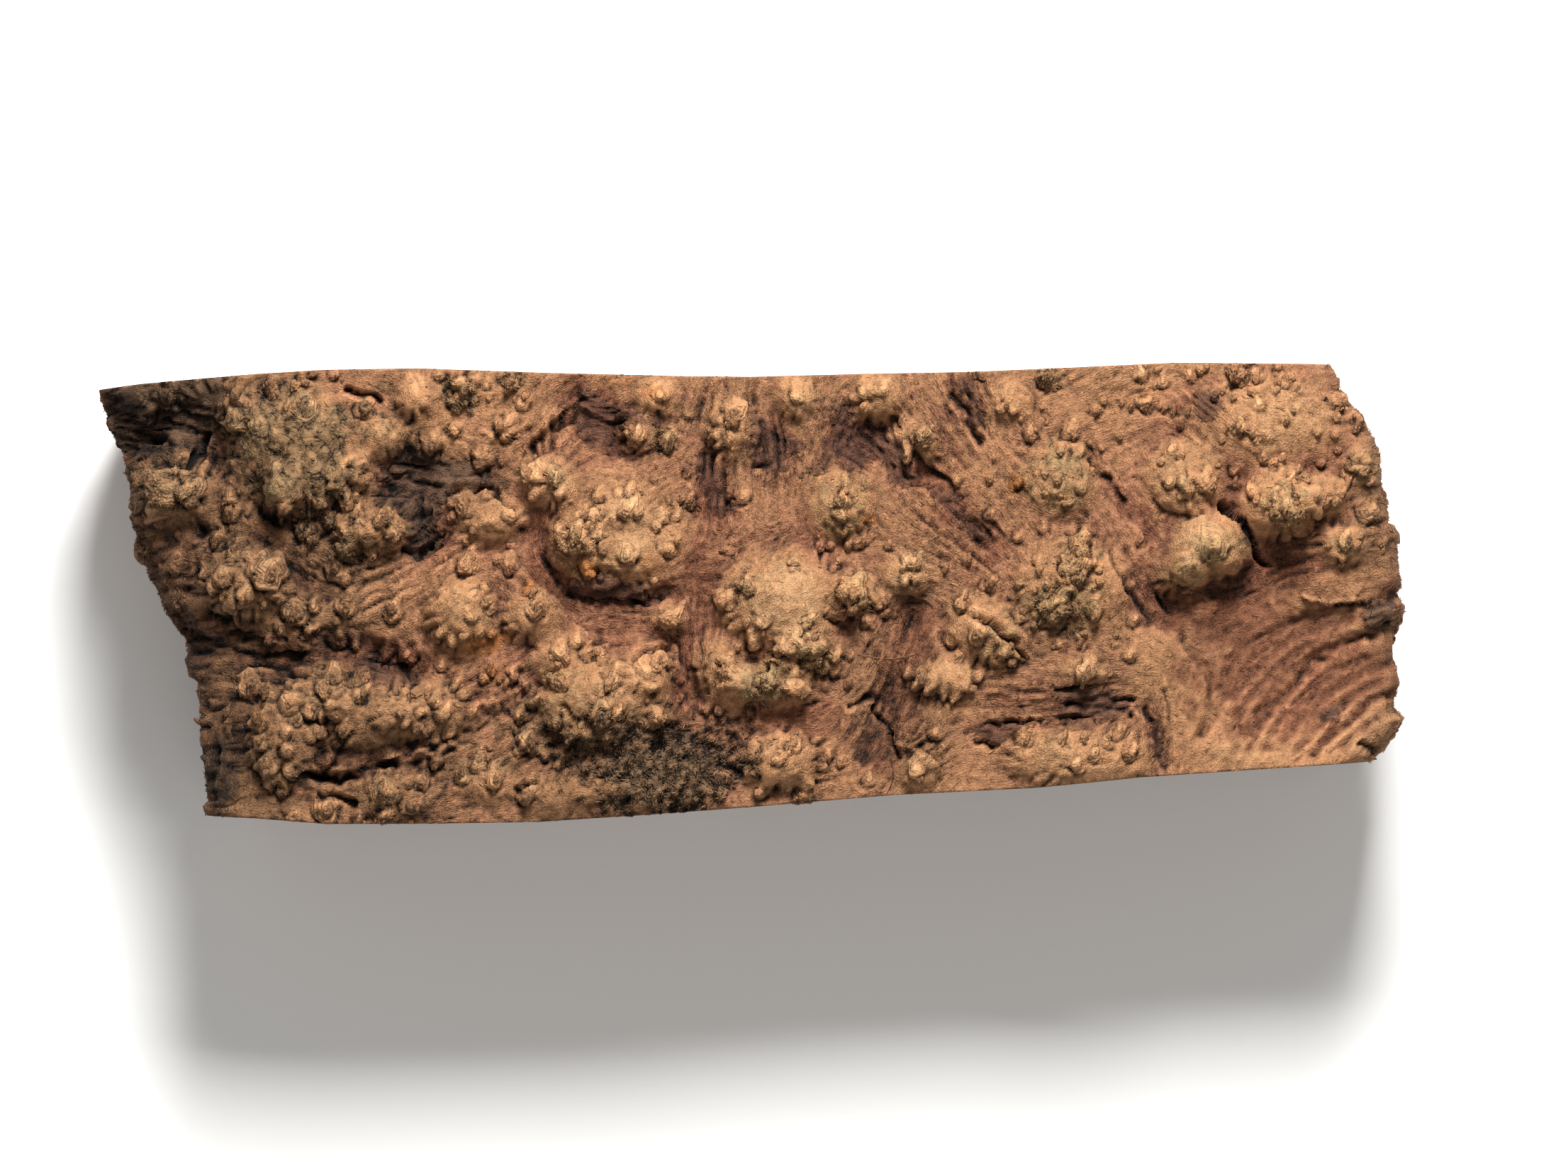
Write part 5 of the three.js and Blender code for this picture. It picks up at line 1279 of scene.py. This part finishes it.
def rind_finish(tones):
    """The rind: dry fibrous wood whose tone changes from swelling to furrow, with painted shade in its
    hollows, creases and valleys and painted highlight on its crests and knob tops.
    """
    known = bpy.data.materials.get("briar_rind")
    if known:
        return known
    wood = Finish("briar_rind")
    fine, medium = wood.grain(0.3, 3.0) - 0.5, wood.grain(1.5, 3.0) - 0.5
    broad = wood.grain(6.0) - 0.5
    fibre = (wood.fibres(2.2, 1.5, 0.2) - 0.5) * wood.layer("grained")
    wool, folds = wood.wool(0.7) - 0.5, wood.wool(1.9) - 0.5
    torn, aged, ring = wood.layer("torn"), wood.layer("aged"), wood.layer("ring")
    cracked = medium + broad * 0.7 + torn * 0.5 + aged * 0.12
    cracks = wood.fissures(2.1, 0.22) * wood.fade(cracked, 0.05, 0.35)
    waves = wood.node("ShaderNodeMath", {"operation": "SINE"}, {0: ring * 9.5 + medium * 8.0})
    rings = waves * wood.fade(ring, 0.15, 0.6)
    streak, strand, tops = wood.layer("streak") - 0.5, wood.layer("strand") - 0.5, wood.layer("tops")
    rise, dent = wood.layer("rise") - 0.5, wood.layer("dent") - 0.5
    loose = medium * 0.9 + fine * 0.6 + fibre * 0.5
    # Painted highlight in part: the pale colour lies over the listed pale patches and also over knob tops,
    # swellings and crests
    light = wood.layer("pale") * 0.8 + tops * 0.2 + rise * 0.4 + loose + broad * 0.5 - dent * 0.4
    rose = loose - rise * 1.5 - tops * 0.5 + broad * 0.8 - aged * 0.2
    sage = wood.layer("sage") + loose * 1.2 + broad * 0.4 - dent * 0.3
    # Partly painted shade: over the listed red-brown furrows, red-brown is laid deeper in hollows and valleys
    # and less on knob tops
    russet = wood.layer("russet") + wood.layer("wall") * 0.45 + dent
    russet = russet - tops * 0.3 - rise * 1.3 + loose + broad * 0.4
    colour = (*tones.tan, 1)
    for tone, mask, low, high, strength in (
            (tones.pale, light, 0.05, 1.1, 0.85),
            (tones.rose, rose, -0.3, 0.8, 0.85),
            (tones.sage, sage, 0.25, 1.15, 0.75),
            (tones.russet, russet, 0.1, 1.0, 0.9),
            (tones.amber, wood.layer("amber") + loose, 0.15, 0.9, 0.8),
            # Partly painted shade: the dark tone is laid deeper in hollows
            (tones.soot, wood.layer("soot") + loose + dent * 0.5, 0.2, 0.9, 0.8),
            (tones.moss, wood.layer("moss") + loose, 0.25, 0.95, 0.65),
            (tones.plum, wood.layer("plum") + loose * 0.7, 0.2, 0.9, 0.85),
            (tones.soot, wood.layer("bark") + fine * 0.5, 0.3, 0.7, 0.75)):
        colour = wood.over(colour, (*tone, 1), wood.fade(mask, low, high) * strength)
    # A greyer brown over the darkened areas
    colour = wood.over(colour, (*tones.aged, 1), aged * 0.5 * wood.fade(medium + 0.5, 0.1, 0.9))
    # Painted shade: hollows and cracks take the dark crevice colour
    colour = wood.over(colour, (*tones.crevice_shade, 1), wood.fade(dent + loose * 0.25, 0.24, 0.55) * 0.8)
    # Painted shade and highlight: the colour is darkened in hollows and valleys and lightened on swellings,
    # crests and knob tops; strand and streak vary it as real tone
    shade = 0.62 + rise * 0.1 - dent * (aged * 0.35 + 0.72) + tops * 0.1 + strand * 0.4 + streak * 0.35
    # The fibre, wool and fold textures lighten and darken the colour in step with their bump: partly real
    # fibre tone, partly painted shade
    shade = shade + fine * 0.95 + fibre * 1.3 + wood.layer("fibre") * 0.07 + wool * 0.35 - folds * 0.3
    # Painted shade: thin fissures without relief are painted dark, the rings lighten and darken in step with
    # their bump, and the greyed areas are darkened as a whole
    shade = (shade - cracks * (aged * 0.15 + 0.36) + rings * 0.09) * (1 - aged * 0.36)
    colour = wood.tinted(colour, wood.grey(shade), 1.0, "MULTIPLY")
    height = wood.grain(0.25, 2.0) * 0.5 + fibre * 1.9 + wool * 0.65 - folds * 0.8 + rings * 0.17
    return wood.done(colour, 0.86 + fine * 0.12, height, 0.5, **{"Specular IOR Level": 0.22})


def sawn_finish(tones):
    """The sawn faces: burl figure of swirls and eyes, saw lines, and the rind's dark rim."""
    wood = Finish("briar_sawn")
    fine, medium, broad = wood.grain(0.5, 3.0) - 0.5, wood.grain(2.5, 4.0) - 0.5, wood.grain(14.0, 3.0) - 0.5
    swirl = wood.node("ShaderNodeTexNoise", None, {
        "Vector": wood.place, "Scale": 130.0, "Detail": 5.0, "Roughness": 0.62, "Distortion": 1.9})
    eyes = wood.node("ShaderNodeTexVoronoi", None, {"Vector": wood.place, "Scale": 240.0, "Randomness": 1.0})
    colour = wood.over((*tones.sawn_light, 1), (*tones.sawn_dark, 1),
                       wood.fade(swirl + broad * 0.5 + fine * 0.3, 0.38, 0.68))
    ring = wood.fade(eyes + fine * 0.15, 0.0, 0.34)
    colour = wood.over((*tones.russet, 1), colour, 0.55 + ring * 0.45)
    pores = wood.fade(wood.grain(0.4, 1.0), 0.68, 0.78)
    colour = wood.over(colour, (*tones.russet, 1), pores * 0.5)
    depth = wood.layer("depth") + medium * 2.2 + fine * 0.8
    colour = wood.over((*tones.russet, 1), colour, wood.fade(depth, 1.5, 9.0) * 0.75 + 0.25)
    colour = wood.over((*tones.soot, 1), colour, wood.fade(depth, 0.25, 1.3))
    saw = wood.node("ShaderNodeTexWave", {"bands_direction": "X"}, {
        "Vector": wood.place, "Scale": 190.0, "Distortion": 1.2, "Detail": 2.0, "Detail Scale": 3.0})
    colour = wood.tinted(colour, wood.grey(0.94 + saw * 0.08 + fine * 0.25), 1.0, "MULTIPLY")
    height = saw * 0.6 + wood.grain(0.3, 2.0) * 0.5
    return wood.done(colour, 0.66 + fine * 0.2, height, 0.12, **{"Specular IOR Level": 0.3})


def floor_finish(stage):
    """Plain pale studio paper."""
    paper = Finish("studio_paper")
    colour = paper.over((*stage.floor_colour, 1), (0.97, 0.97, 0.97, 1), paper.grain(40.0) * 0.1)
    return paper.done(colour, 0.9)


def count_property(name, description, default, least):
    """A whole number that a user may change."""
    return IntProperty(name=name, description=description, default=default, min=least)


def length_property(name, description, default, least=0.0):
    """A length that a user may change, given in mm."""
    return FloatProperty(
        name=name, description=description, default=default * MM, min=least * MM, unit="LENGTH")


def colour_property(name, description, *screen):
    """A colour that a user may change, given as a screen shows it."""
    return FloatVectorProperty(
        name=name, description=description, default=tint(*screen), min=0, max=1, size=3, subtype="COLOR")


def angle_property(name, description, degrees):
    """An angle that a user may change."""
    return FloatProperty(
        name=name, description=description, default=math.radians(degrees), subtype="ANGLE", unit="ROTATION")


class BriarShape(bpy.types.PropertyGroup):
    """Sizes of the block and of what the rind is worked out from"""

    columns: count_property("Columns", "Mesh steps along the block, over both ends", 524, 80)
    rows: count_property("Rows", "Mesh steps across the rind", 162, 20)
    end_columns: count_property("End columns", "Mesh steps down each natural end", 28, 6)
    side_rows: count_property("Side rows", "Mesh steps down each sawn side", 8, 1)
    knob_height: length_property("Knob height", "Height of a knob of one millimetre radius", 0.68)
    swelling_scale: FloatProperty(
        name="Swelling", description="How far the swellings stand out", default=1.35, min=0, subtype="FACTOR")
    flute_depth: length_property("Flute depth", "Depth of the folds down the swellings", 0.45)
    wrinkle_depth: length_property("Wrinkle depth", "Depth of the fibre wrinkles between the knobs", 0.24)


class BriarBuds(bpy.types.PropertyGroup):
    """Small knobs that stand on the rind"""

    knob_height: length_property("Bud height", "Height of a bud of one millimetre radius", 0.95)
    bud_lean: FloatProperty(
        name="Lean", description="How far the buds lean towards the near side", default=0.75, min=0, max=1,
        subtype="FACTOR")
    sides: count_property("Sides", "Mesh steps round a large bud", 18, 6)
    rings: count_property("Rings", "Mesh steps up a large bud", 8, 3)


class BriarTones(bpy.types.PropertyGroup):
    """Colours of the rind and of the sawn wood"""

    tan: colour_property("Tan", "The rind's main tone", 173, 124, 85)
    # Pale: a paler rind tone in places, and painted highlight on knob tops, crests and swellings
    pale: colour_property("Pale", "Worn lobes and knob tops", 186, 146, 104)
    sage: colour_property("Sage", "Weathered swellings, greenish grey-brown", 138, 115, 78)
    rose: colour_property("Rose", "Pinkish low ground between the swellings", 172, 115, 86)
    russet: colour_property("Russet", "Red-brown furrows", 140, 86, 60)
    amber: colour_property("Amber", "Orange spots", 178, 112, 56)
    # Greyed brown over areas that are also darkened as painted shade, most of all at the left end
    aged: colour_property("Aged", "Greyed brown of the weathered end", 126, 99, 70)
    plum: colour_property("Plum", "Purple-brown bark", 98, 64, 50)
    # Dark bark, and painted shade in cracks, pits and over the left end
    soot: colour_property("Soot", "Grey-black bark", 68, 53, 43)
    moss: colour_property("Moss", "Crumbly dark growth", 84, 71, 54)
    # Painted shade: the dark colour laid in the depths of cracks and hollows
    crevice_shade: colour_property("Crevice", "The depths of cracks", 44, 26, 18)
    sawn_light: colour_property("Sawn light", "Light figure of the sawn faces", 152, 114, 84)
    sawn_dark: colour_property("Sawn dark", "Dark figure of the sawn faces", 122, 84, 60)

class BriarFelt(bpy.types.PropertyGroup):
    """Torn fibre that covers the rind"""

    strands: count_property("Strands", "Bent strands in each of the four pieces of felt", 2500, 100)
    fuzz: count_property("Fuzz", "Short straight fibres in each of the four pieces of fuzz", 18000, 100)
    length: length_property("Length", "Longest strand of the felt", 1.3, 0.2)
    width: length_property("Width", "Widest strand of the felt", 0.15, 0.02)
    lift: length_property("Lift", "How far the tips stand off the rind", 0.1)


class BriarTufts(bpy.types.PropertyGroup):
    """Torn fringes, crumbs and hairs"""

    fringe: count_property("Fringe", "Strands that hang from torn lobes", 6000, 10)
    curls: count_property("Curls", "Curled fibres that stand off the rind", 6500, 10)
    crumbs: count_property("Crumbs", "Crumbs on the mossy ground", 1200, 10)
    ends: count_property("Ends", "Strands along the rims of the natural ends", 1500, 10)
    hair_width: length_property("Hair width", "Width of the long loose hairs", 0.16, 0.02)
    length: length_property("Length", "Longest strand of the fringes", 1.7, 0.5)


class BriarStage(bpy.types.PropertyGroup):
    """Floor, light and camera"""

    floor_colour: colour_property("Floor", "Pale floor", 240, 240, 238)
    lens: FloatProperty(name="Lens", description="Focal length in mm", default=250.0, min=10)
    picture_width: length_property(
        "Picture width", "Width of the picture at the height of the rind", 221.2, 10)
    key_power: FloatProperty(name="Key", description="Power of the key light in watts", default=10.3, min=0)
    key_turn: angle_property("Key turn", "How far the key light stands round from the far side", 8)
    key_height: angle_property("Key height", "How high the key light stands over the horizon", 43)
    sky: FloatProperty(name="Sky", description="Strength of the light from all round", default=0.27, min=0)


class BRIAR_OT_block(bpy.types.Operator):
    """Make the burl block with its rind, natural ends and sawn faces"""

    bl_idname = "briar.block"
    bl_label = "Block"

    def execute(self, context):
        shape, tones = context.scene.briar_shape, context.scene.briar_tones
        mesh = make_block(worked_skin(shape), shape)
        block = add_piece("briar_block", mesh, rind_finish(tones), sawn_finish(tones))
        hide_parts("burl_block")
        return {"FINISHED"}


class BRIAR_OT_buds(bpy.types.Operator):
    """Set the small knobs on the rind"""

    bl_idname = "briar.buds"
    bl_label = "Buds"

    def execute(self, context):
        skin, buds = worked_skin(context.scene.briar_shape), context.scene.briar_buds
        rng = np.random.default_rng(30)
        knobs = small_and_large_knobs()
        small = [knob for knob in knobs if knob[2] < BUD_LIMIT]
        tops = []
        large = [knob for knob in knobs if knob[2] >= BUD_LIMIT and "el" not in knob[3:]]
        for x, y, radius, *letters in large:
            kind = "".join(letters)
            for _ in range(1 + int(radius) if "r" in kind else int(radius > 1.3)):
                share = radius * rng.uniform(0, 0.45)
                angle = rng.uniform(0, 2 * math.pi)
                size = min(1.1, radius * rng.uniform(0.3, 0.6))
                top_kind = kind + ("e" if rng.random() < 0.4 else "")
                top_y = y - 0.35 * radius + share * math.sin(angle)
                tops.append((x + share * math.cos(angle), top_y, size, top_kind))
        finish = rind_finish(context.scene.briar_tones)
        fine_sides, fine_rings = buds.sides * 2 // 3, buds.rings * 2 // 3
        for name, chosen, sides, rings in (
                ("bud_tops", tops, buds.sides, buds.rings),
                ("buds_large", [knob for knob in small if knob[2] >= FINE_BUD], buds.sides, buds.rings),
                ("buds_small", [knob for knob in small if knob[2] < FINE_BUD], fine_sides, fine_rings)):
            mesh = bud_mesh(name, skin, chosen, sides, rings, buds, np.random.default_rng(31))
            add_piece(name, mesh, finish)
        return {"FINISHED"}


class BRIAR_OT_felt(bpy.types.Operator):
    """Cover the rind with torn fibre that lies along the grain"""

    bl_idname = "briar.felt"
    bl_label = "Felt"

    def execute(self, context):
        skin, felt = worked_skin(context.scene.briar_shape), context.scene.briar_felt
        tones, x = skin["tones"], skin["points"][..., 0]
        cover = 0.7 + 0.4 * tones["sage"] + 0.4 * tones["russet"] + 0.5 * tones["wall"] - 0.2 * tones["tops"]
        longest, widest, lift = felt.length / MM, felt.width / MM, felt.lift / MM
        felted = {
            "length": (longest * 0.4, longest), "width": (widest * 0.4, widest), "thickness": (0.4, 0.8),
            "lift": (-0.02, lift), "spread": 0.5, "curl": 1.2,
        }
        fuzzy = dict(felted, length=(longest * 0.2, longest * 0.55), spread=0.9)
        zones = {
            "left": (-math.inf, -45), "mid_left": (-45, 0), "mid_right": (0, 46), "right": (46, math.inf),
        }
        for seed, (zone, (start, end)) in enumerate(zones.items()):
            weight = cover * ((x >= start) & (x < end))
            add_strands(f"fibre_felt_{zone}", skin, weight, felt.strands, felted, 40 + seed)
            add_strands(f"fibre_fuzz_{zone}", skin, weight, felt.fuzz, fuzzy, 50 + seed, joints=2)
        return {"FINISHED"}


class BRIAR_OT_tufts(bpy.types.Operator):
    """Hang torn fringes from the lobes, strew crumbs over the mossy ground and lay the loose hairs"""

    bl_idname = "briar.tufts"
    bl_label = "Tufts"

    def execute(self, context):
        skin, tufts = worked_skin(context.scene.briar_shape), context.scene.briar_tufts
        tones = skin["tones"]
        near_side = np.clip(-skin["normal"][..., 1] - 0.3 * skin["normal"][..., 0], 0, 1)
        fringe = {
            "length": (0.4, tufts.length / MM), "width": (0.1, 0.25), "thickness": (0.3, 0.7),
            "lift": (0.02, 0.4), "spread": 0.6, "curl": 1.4, "hang": True,
        }
        weight = np.clip(tones["torn"] - 0.3, 0, 1) + 0.15 * tones["soot"]
        weight = weight * (near_side**2 + 0.05) * (1 - tones["wall"])
        add_strands("fringe", skin, weight, tufts.fringe, fringe, 60, joints=4)
        curled = dict(fringe, length=(0.6, 1.9), width=(0.08, 0.17), lift=(0.04, 0.3))
        curled.update(spread=0.7, curl=2.6, hang=False)
        rough = 0.15 + np.clip(tones["torn"] - 0.2, 0, 1) + 0.5 * tones["aged"] + 0.4 * tones["russet"]
        weight = rough * (1 - tones["wall"]) * (1 - 0.6 * tones["ribbed"])
        add_strands("curls", skin, weight, tufts.curls, curled, 63, joints=4)
        crumb = dict(fringe, length=(0.4, 1.1), width=(0.2, 0.4), lift=(0.1, 0.5), curl=2.0, spread=2.0)
        add_strands("moss_crumbs", skin, tones["moss"] ** 2, tufts.crumbs, crumb, 61, joints=4)
        rim = np.exp(-(((skin["share"] - 0.85) / 0.08) ** 2)) * (skin["share"] < 0.97)
        ends = dict(fringe, length=(0.5, 1.8), lift=(0.1, 0.4))
        add_strands("end_fringe", skin, rim, tufts.ends, ends, 62, joints=4)
        paths, normals = hair_paths(skin, 14, 0.1)
        spot = tuple(np.array([nearest_place(skin, *path[0, :2]) for path in paths]).T)
        shades = {tone: layer[spot] for tone, layer in tones.items()}
        width = np.full(len(paths), tufts.hair_width / MM)
        rng = np.random.default_rng(64)
        hairs = strand_mesh("long_hairs", paths, normals, width, width * 0.8, shades, rng)
        add_piece("long_hairs", hairs, rind_finish(context.scene.briar_tones))
        return {"FINISHED"}


FLOOR_HALF = 1.5                    # half the floor's width, metres
KEY_SIZE, KEY_AWAY = 0.22, 0.62     # metres
FILL_SIZE, FILL_AWAY = 0.9, 0.9     # metres
FILL_SHARE = 0.2                    # the fill light's power as a share of the key's
FILL_HEIGHT = math.radians(55)
SENSOR_WIDTH = 36.0                 # mm


class BRIAR_OT_stage(bpy.types.Operator):
    """Lay the floor and set the lights and the camera"""

    bl_idname = "briar.stage"
    bl_label = "Stage"

    def execute(self, context):
        stage = context.scene.briar_stage
        bm = bmesh.new()
        bmesh.ops.create_grid(bm, x_segments=8, y_segments=8, size=FLOOR_HALF)
        mesh = bpy.data.meshes.new("floor")
        bm.to_mesh(mesh)
        bm.free()
        mesh.materials.append(floor_finish(stage))
        floor = bpy.data.objects.new("floor", mesh)
        context.scene.collection.objects.link(floor)
        add_light("key", stage.key_power, KEY_SIZE, stage.key_turn, stage.key_height, KEY_AWAY)
        fill_turn = stage.key_turn + math.pi
        add_light("fill", stage.key_power * FILL_SHARE, FILL_SIZE, fill_turn, FILL_HEIGHT, FILL_AWAY)
        world = bpy.data.worlds.new("studio")
        world.use_nodes = True
        world.node_tree.nodes["Background"].inputs["Color"].default_value = (1, 0.985, 0.965, 1)
        world.node_tree.nodes["Background"].inputs["Strength"].default_value = stage.sky
        context.scene.world = world
        context.scene.view_settings.view_transform = "Standard"
        add_camera(stage)
        return {"FINISHED"}


def add_light(name, power, size, turn, height, away):
    """A square area light that looks at the middle of the block; turn 0 is the far side."""
    lamp = bpy.data.lights.new(name, "AREA")
    lamp.shape = "SQUARE"
    lamp.size = size
    lamp.energy = power
    light = bpy.data.objects.new(name, lamp)
    aim = Vector((0, 0, GROUND * MM))
    ray = Vector((math.sin(turn) * math.cos(height), math.cos(turn) * math.cos(height), math.sin(height)))
    light.location = aim + ray * away
    light.rotation_mode = "QUATERNION"
    light.rotation_quaternion = (-ray).to_track_quat("-Z", "Y")
    bpy.context.scene.collection.objects.link(light)


PICTURE_MIDDLE = (4.6, 0.85)    # what the middle of the picture looks at, in the rind's layout, mm
FACE_HEIGHT = 44.0              # mean height of the rind over the sawn back, mm


def add_camera(stage):
    """The camera looks straight down on the rind."""
    lens = bpy.data.cameras.new("camera")
    lens.lens = stage.lens
    lens.sensor_width = SENSOR_WIDTH
    away = stage.picture_width * stage.lens / lens.sensor_width
    lens.clip_start, lens.clip_end = 0.01, 10
    camera = bpy.data.objects.new("camera", lens)
    x, y = (PICTURE_MIDDLE[n] - OUTLINE_MIDDLE[n] for n in (0, 1))
    camera.location = (x * MM, y * MM, FACE_HEIGHT * MM + away)
    bpy.context.scene.collection.objects.link(camera)
    bpy.context.scene.camera = camera


class BRIAR_PT_panel(bpy.types.Panel):
    """Steps and settings of the briar block"""

    bl_idname = "BRIAR_PT_panel"
    bl_label = "Briar Block"
    bl_space_type = "VIEW_3D"
    bl_region_type = "UI"
    bl_category = "Briar Block"

    def draw(self, context):
        for operator in OPERATORS:
            self.layout.operator(operator.bl_idname)
        for group in SETTINGS:
            box = self.layout.box()
            for name in SETTINGS[group].__annotations__:
                box.prop(getattr(context.scene, group), name)


OPERATORS = (BRIAR_OT_stage, BRIAR_OT_block, BRIAR_OT_buds, BRIAR_OT_felt, BRIAR_OT_tufts)
SETTINGS = {
    "briar_shape": BriarShape, "briar_buds": BriarBuds, "briar_tones": BriarTones, "briar_felt": BriarFelt,
    "briar_tufts": BriarTufts, "briar_stage": BriarStage,
}
CLASSES = (*SETTINGS.values(), *OPERATORS, BRIAR_PT_panel)


def register():
    for cls in CLASSES:
        bpy.utils.register_class(cls)
    for name, cls in SETTINGS.items():
        setattr(bpy.types.Scene, name, PointerProperty(type=cls))


def unregister():
    for name in SETTINGS:
        delattr(bpy.types.Scene, name)
    for cls in reversed(CLASSES):
        bpy.utils.unregister_class(cls)


def main():
    register()
    bpy.ops.briar.stage()
    bpy.ops.briar.block()
    bpy.ops.briar.buds()
    bpy.ops.briar.felt()
    bpy.ops.briar.tufts()


if __name__ == "__main__":
    main()
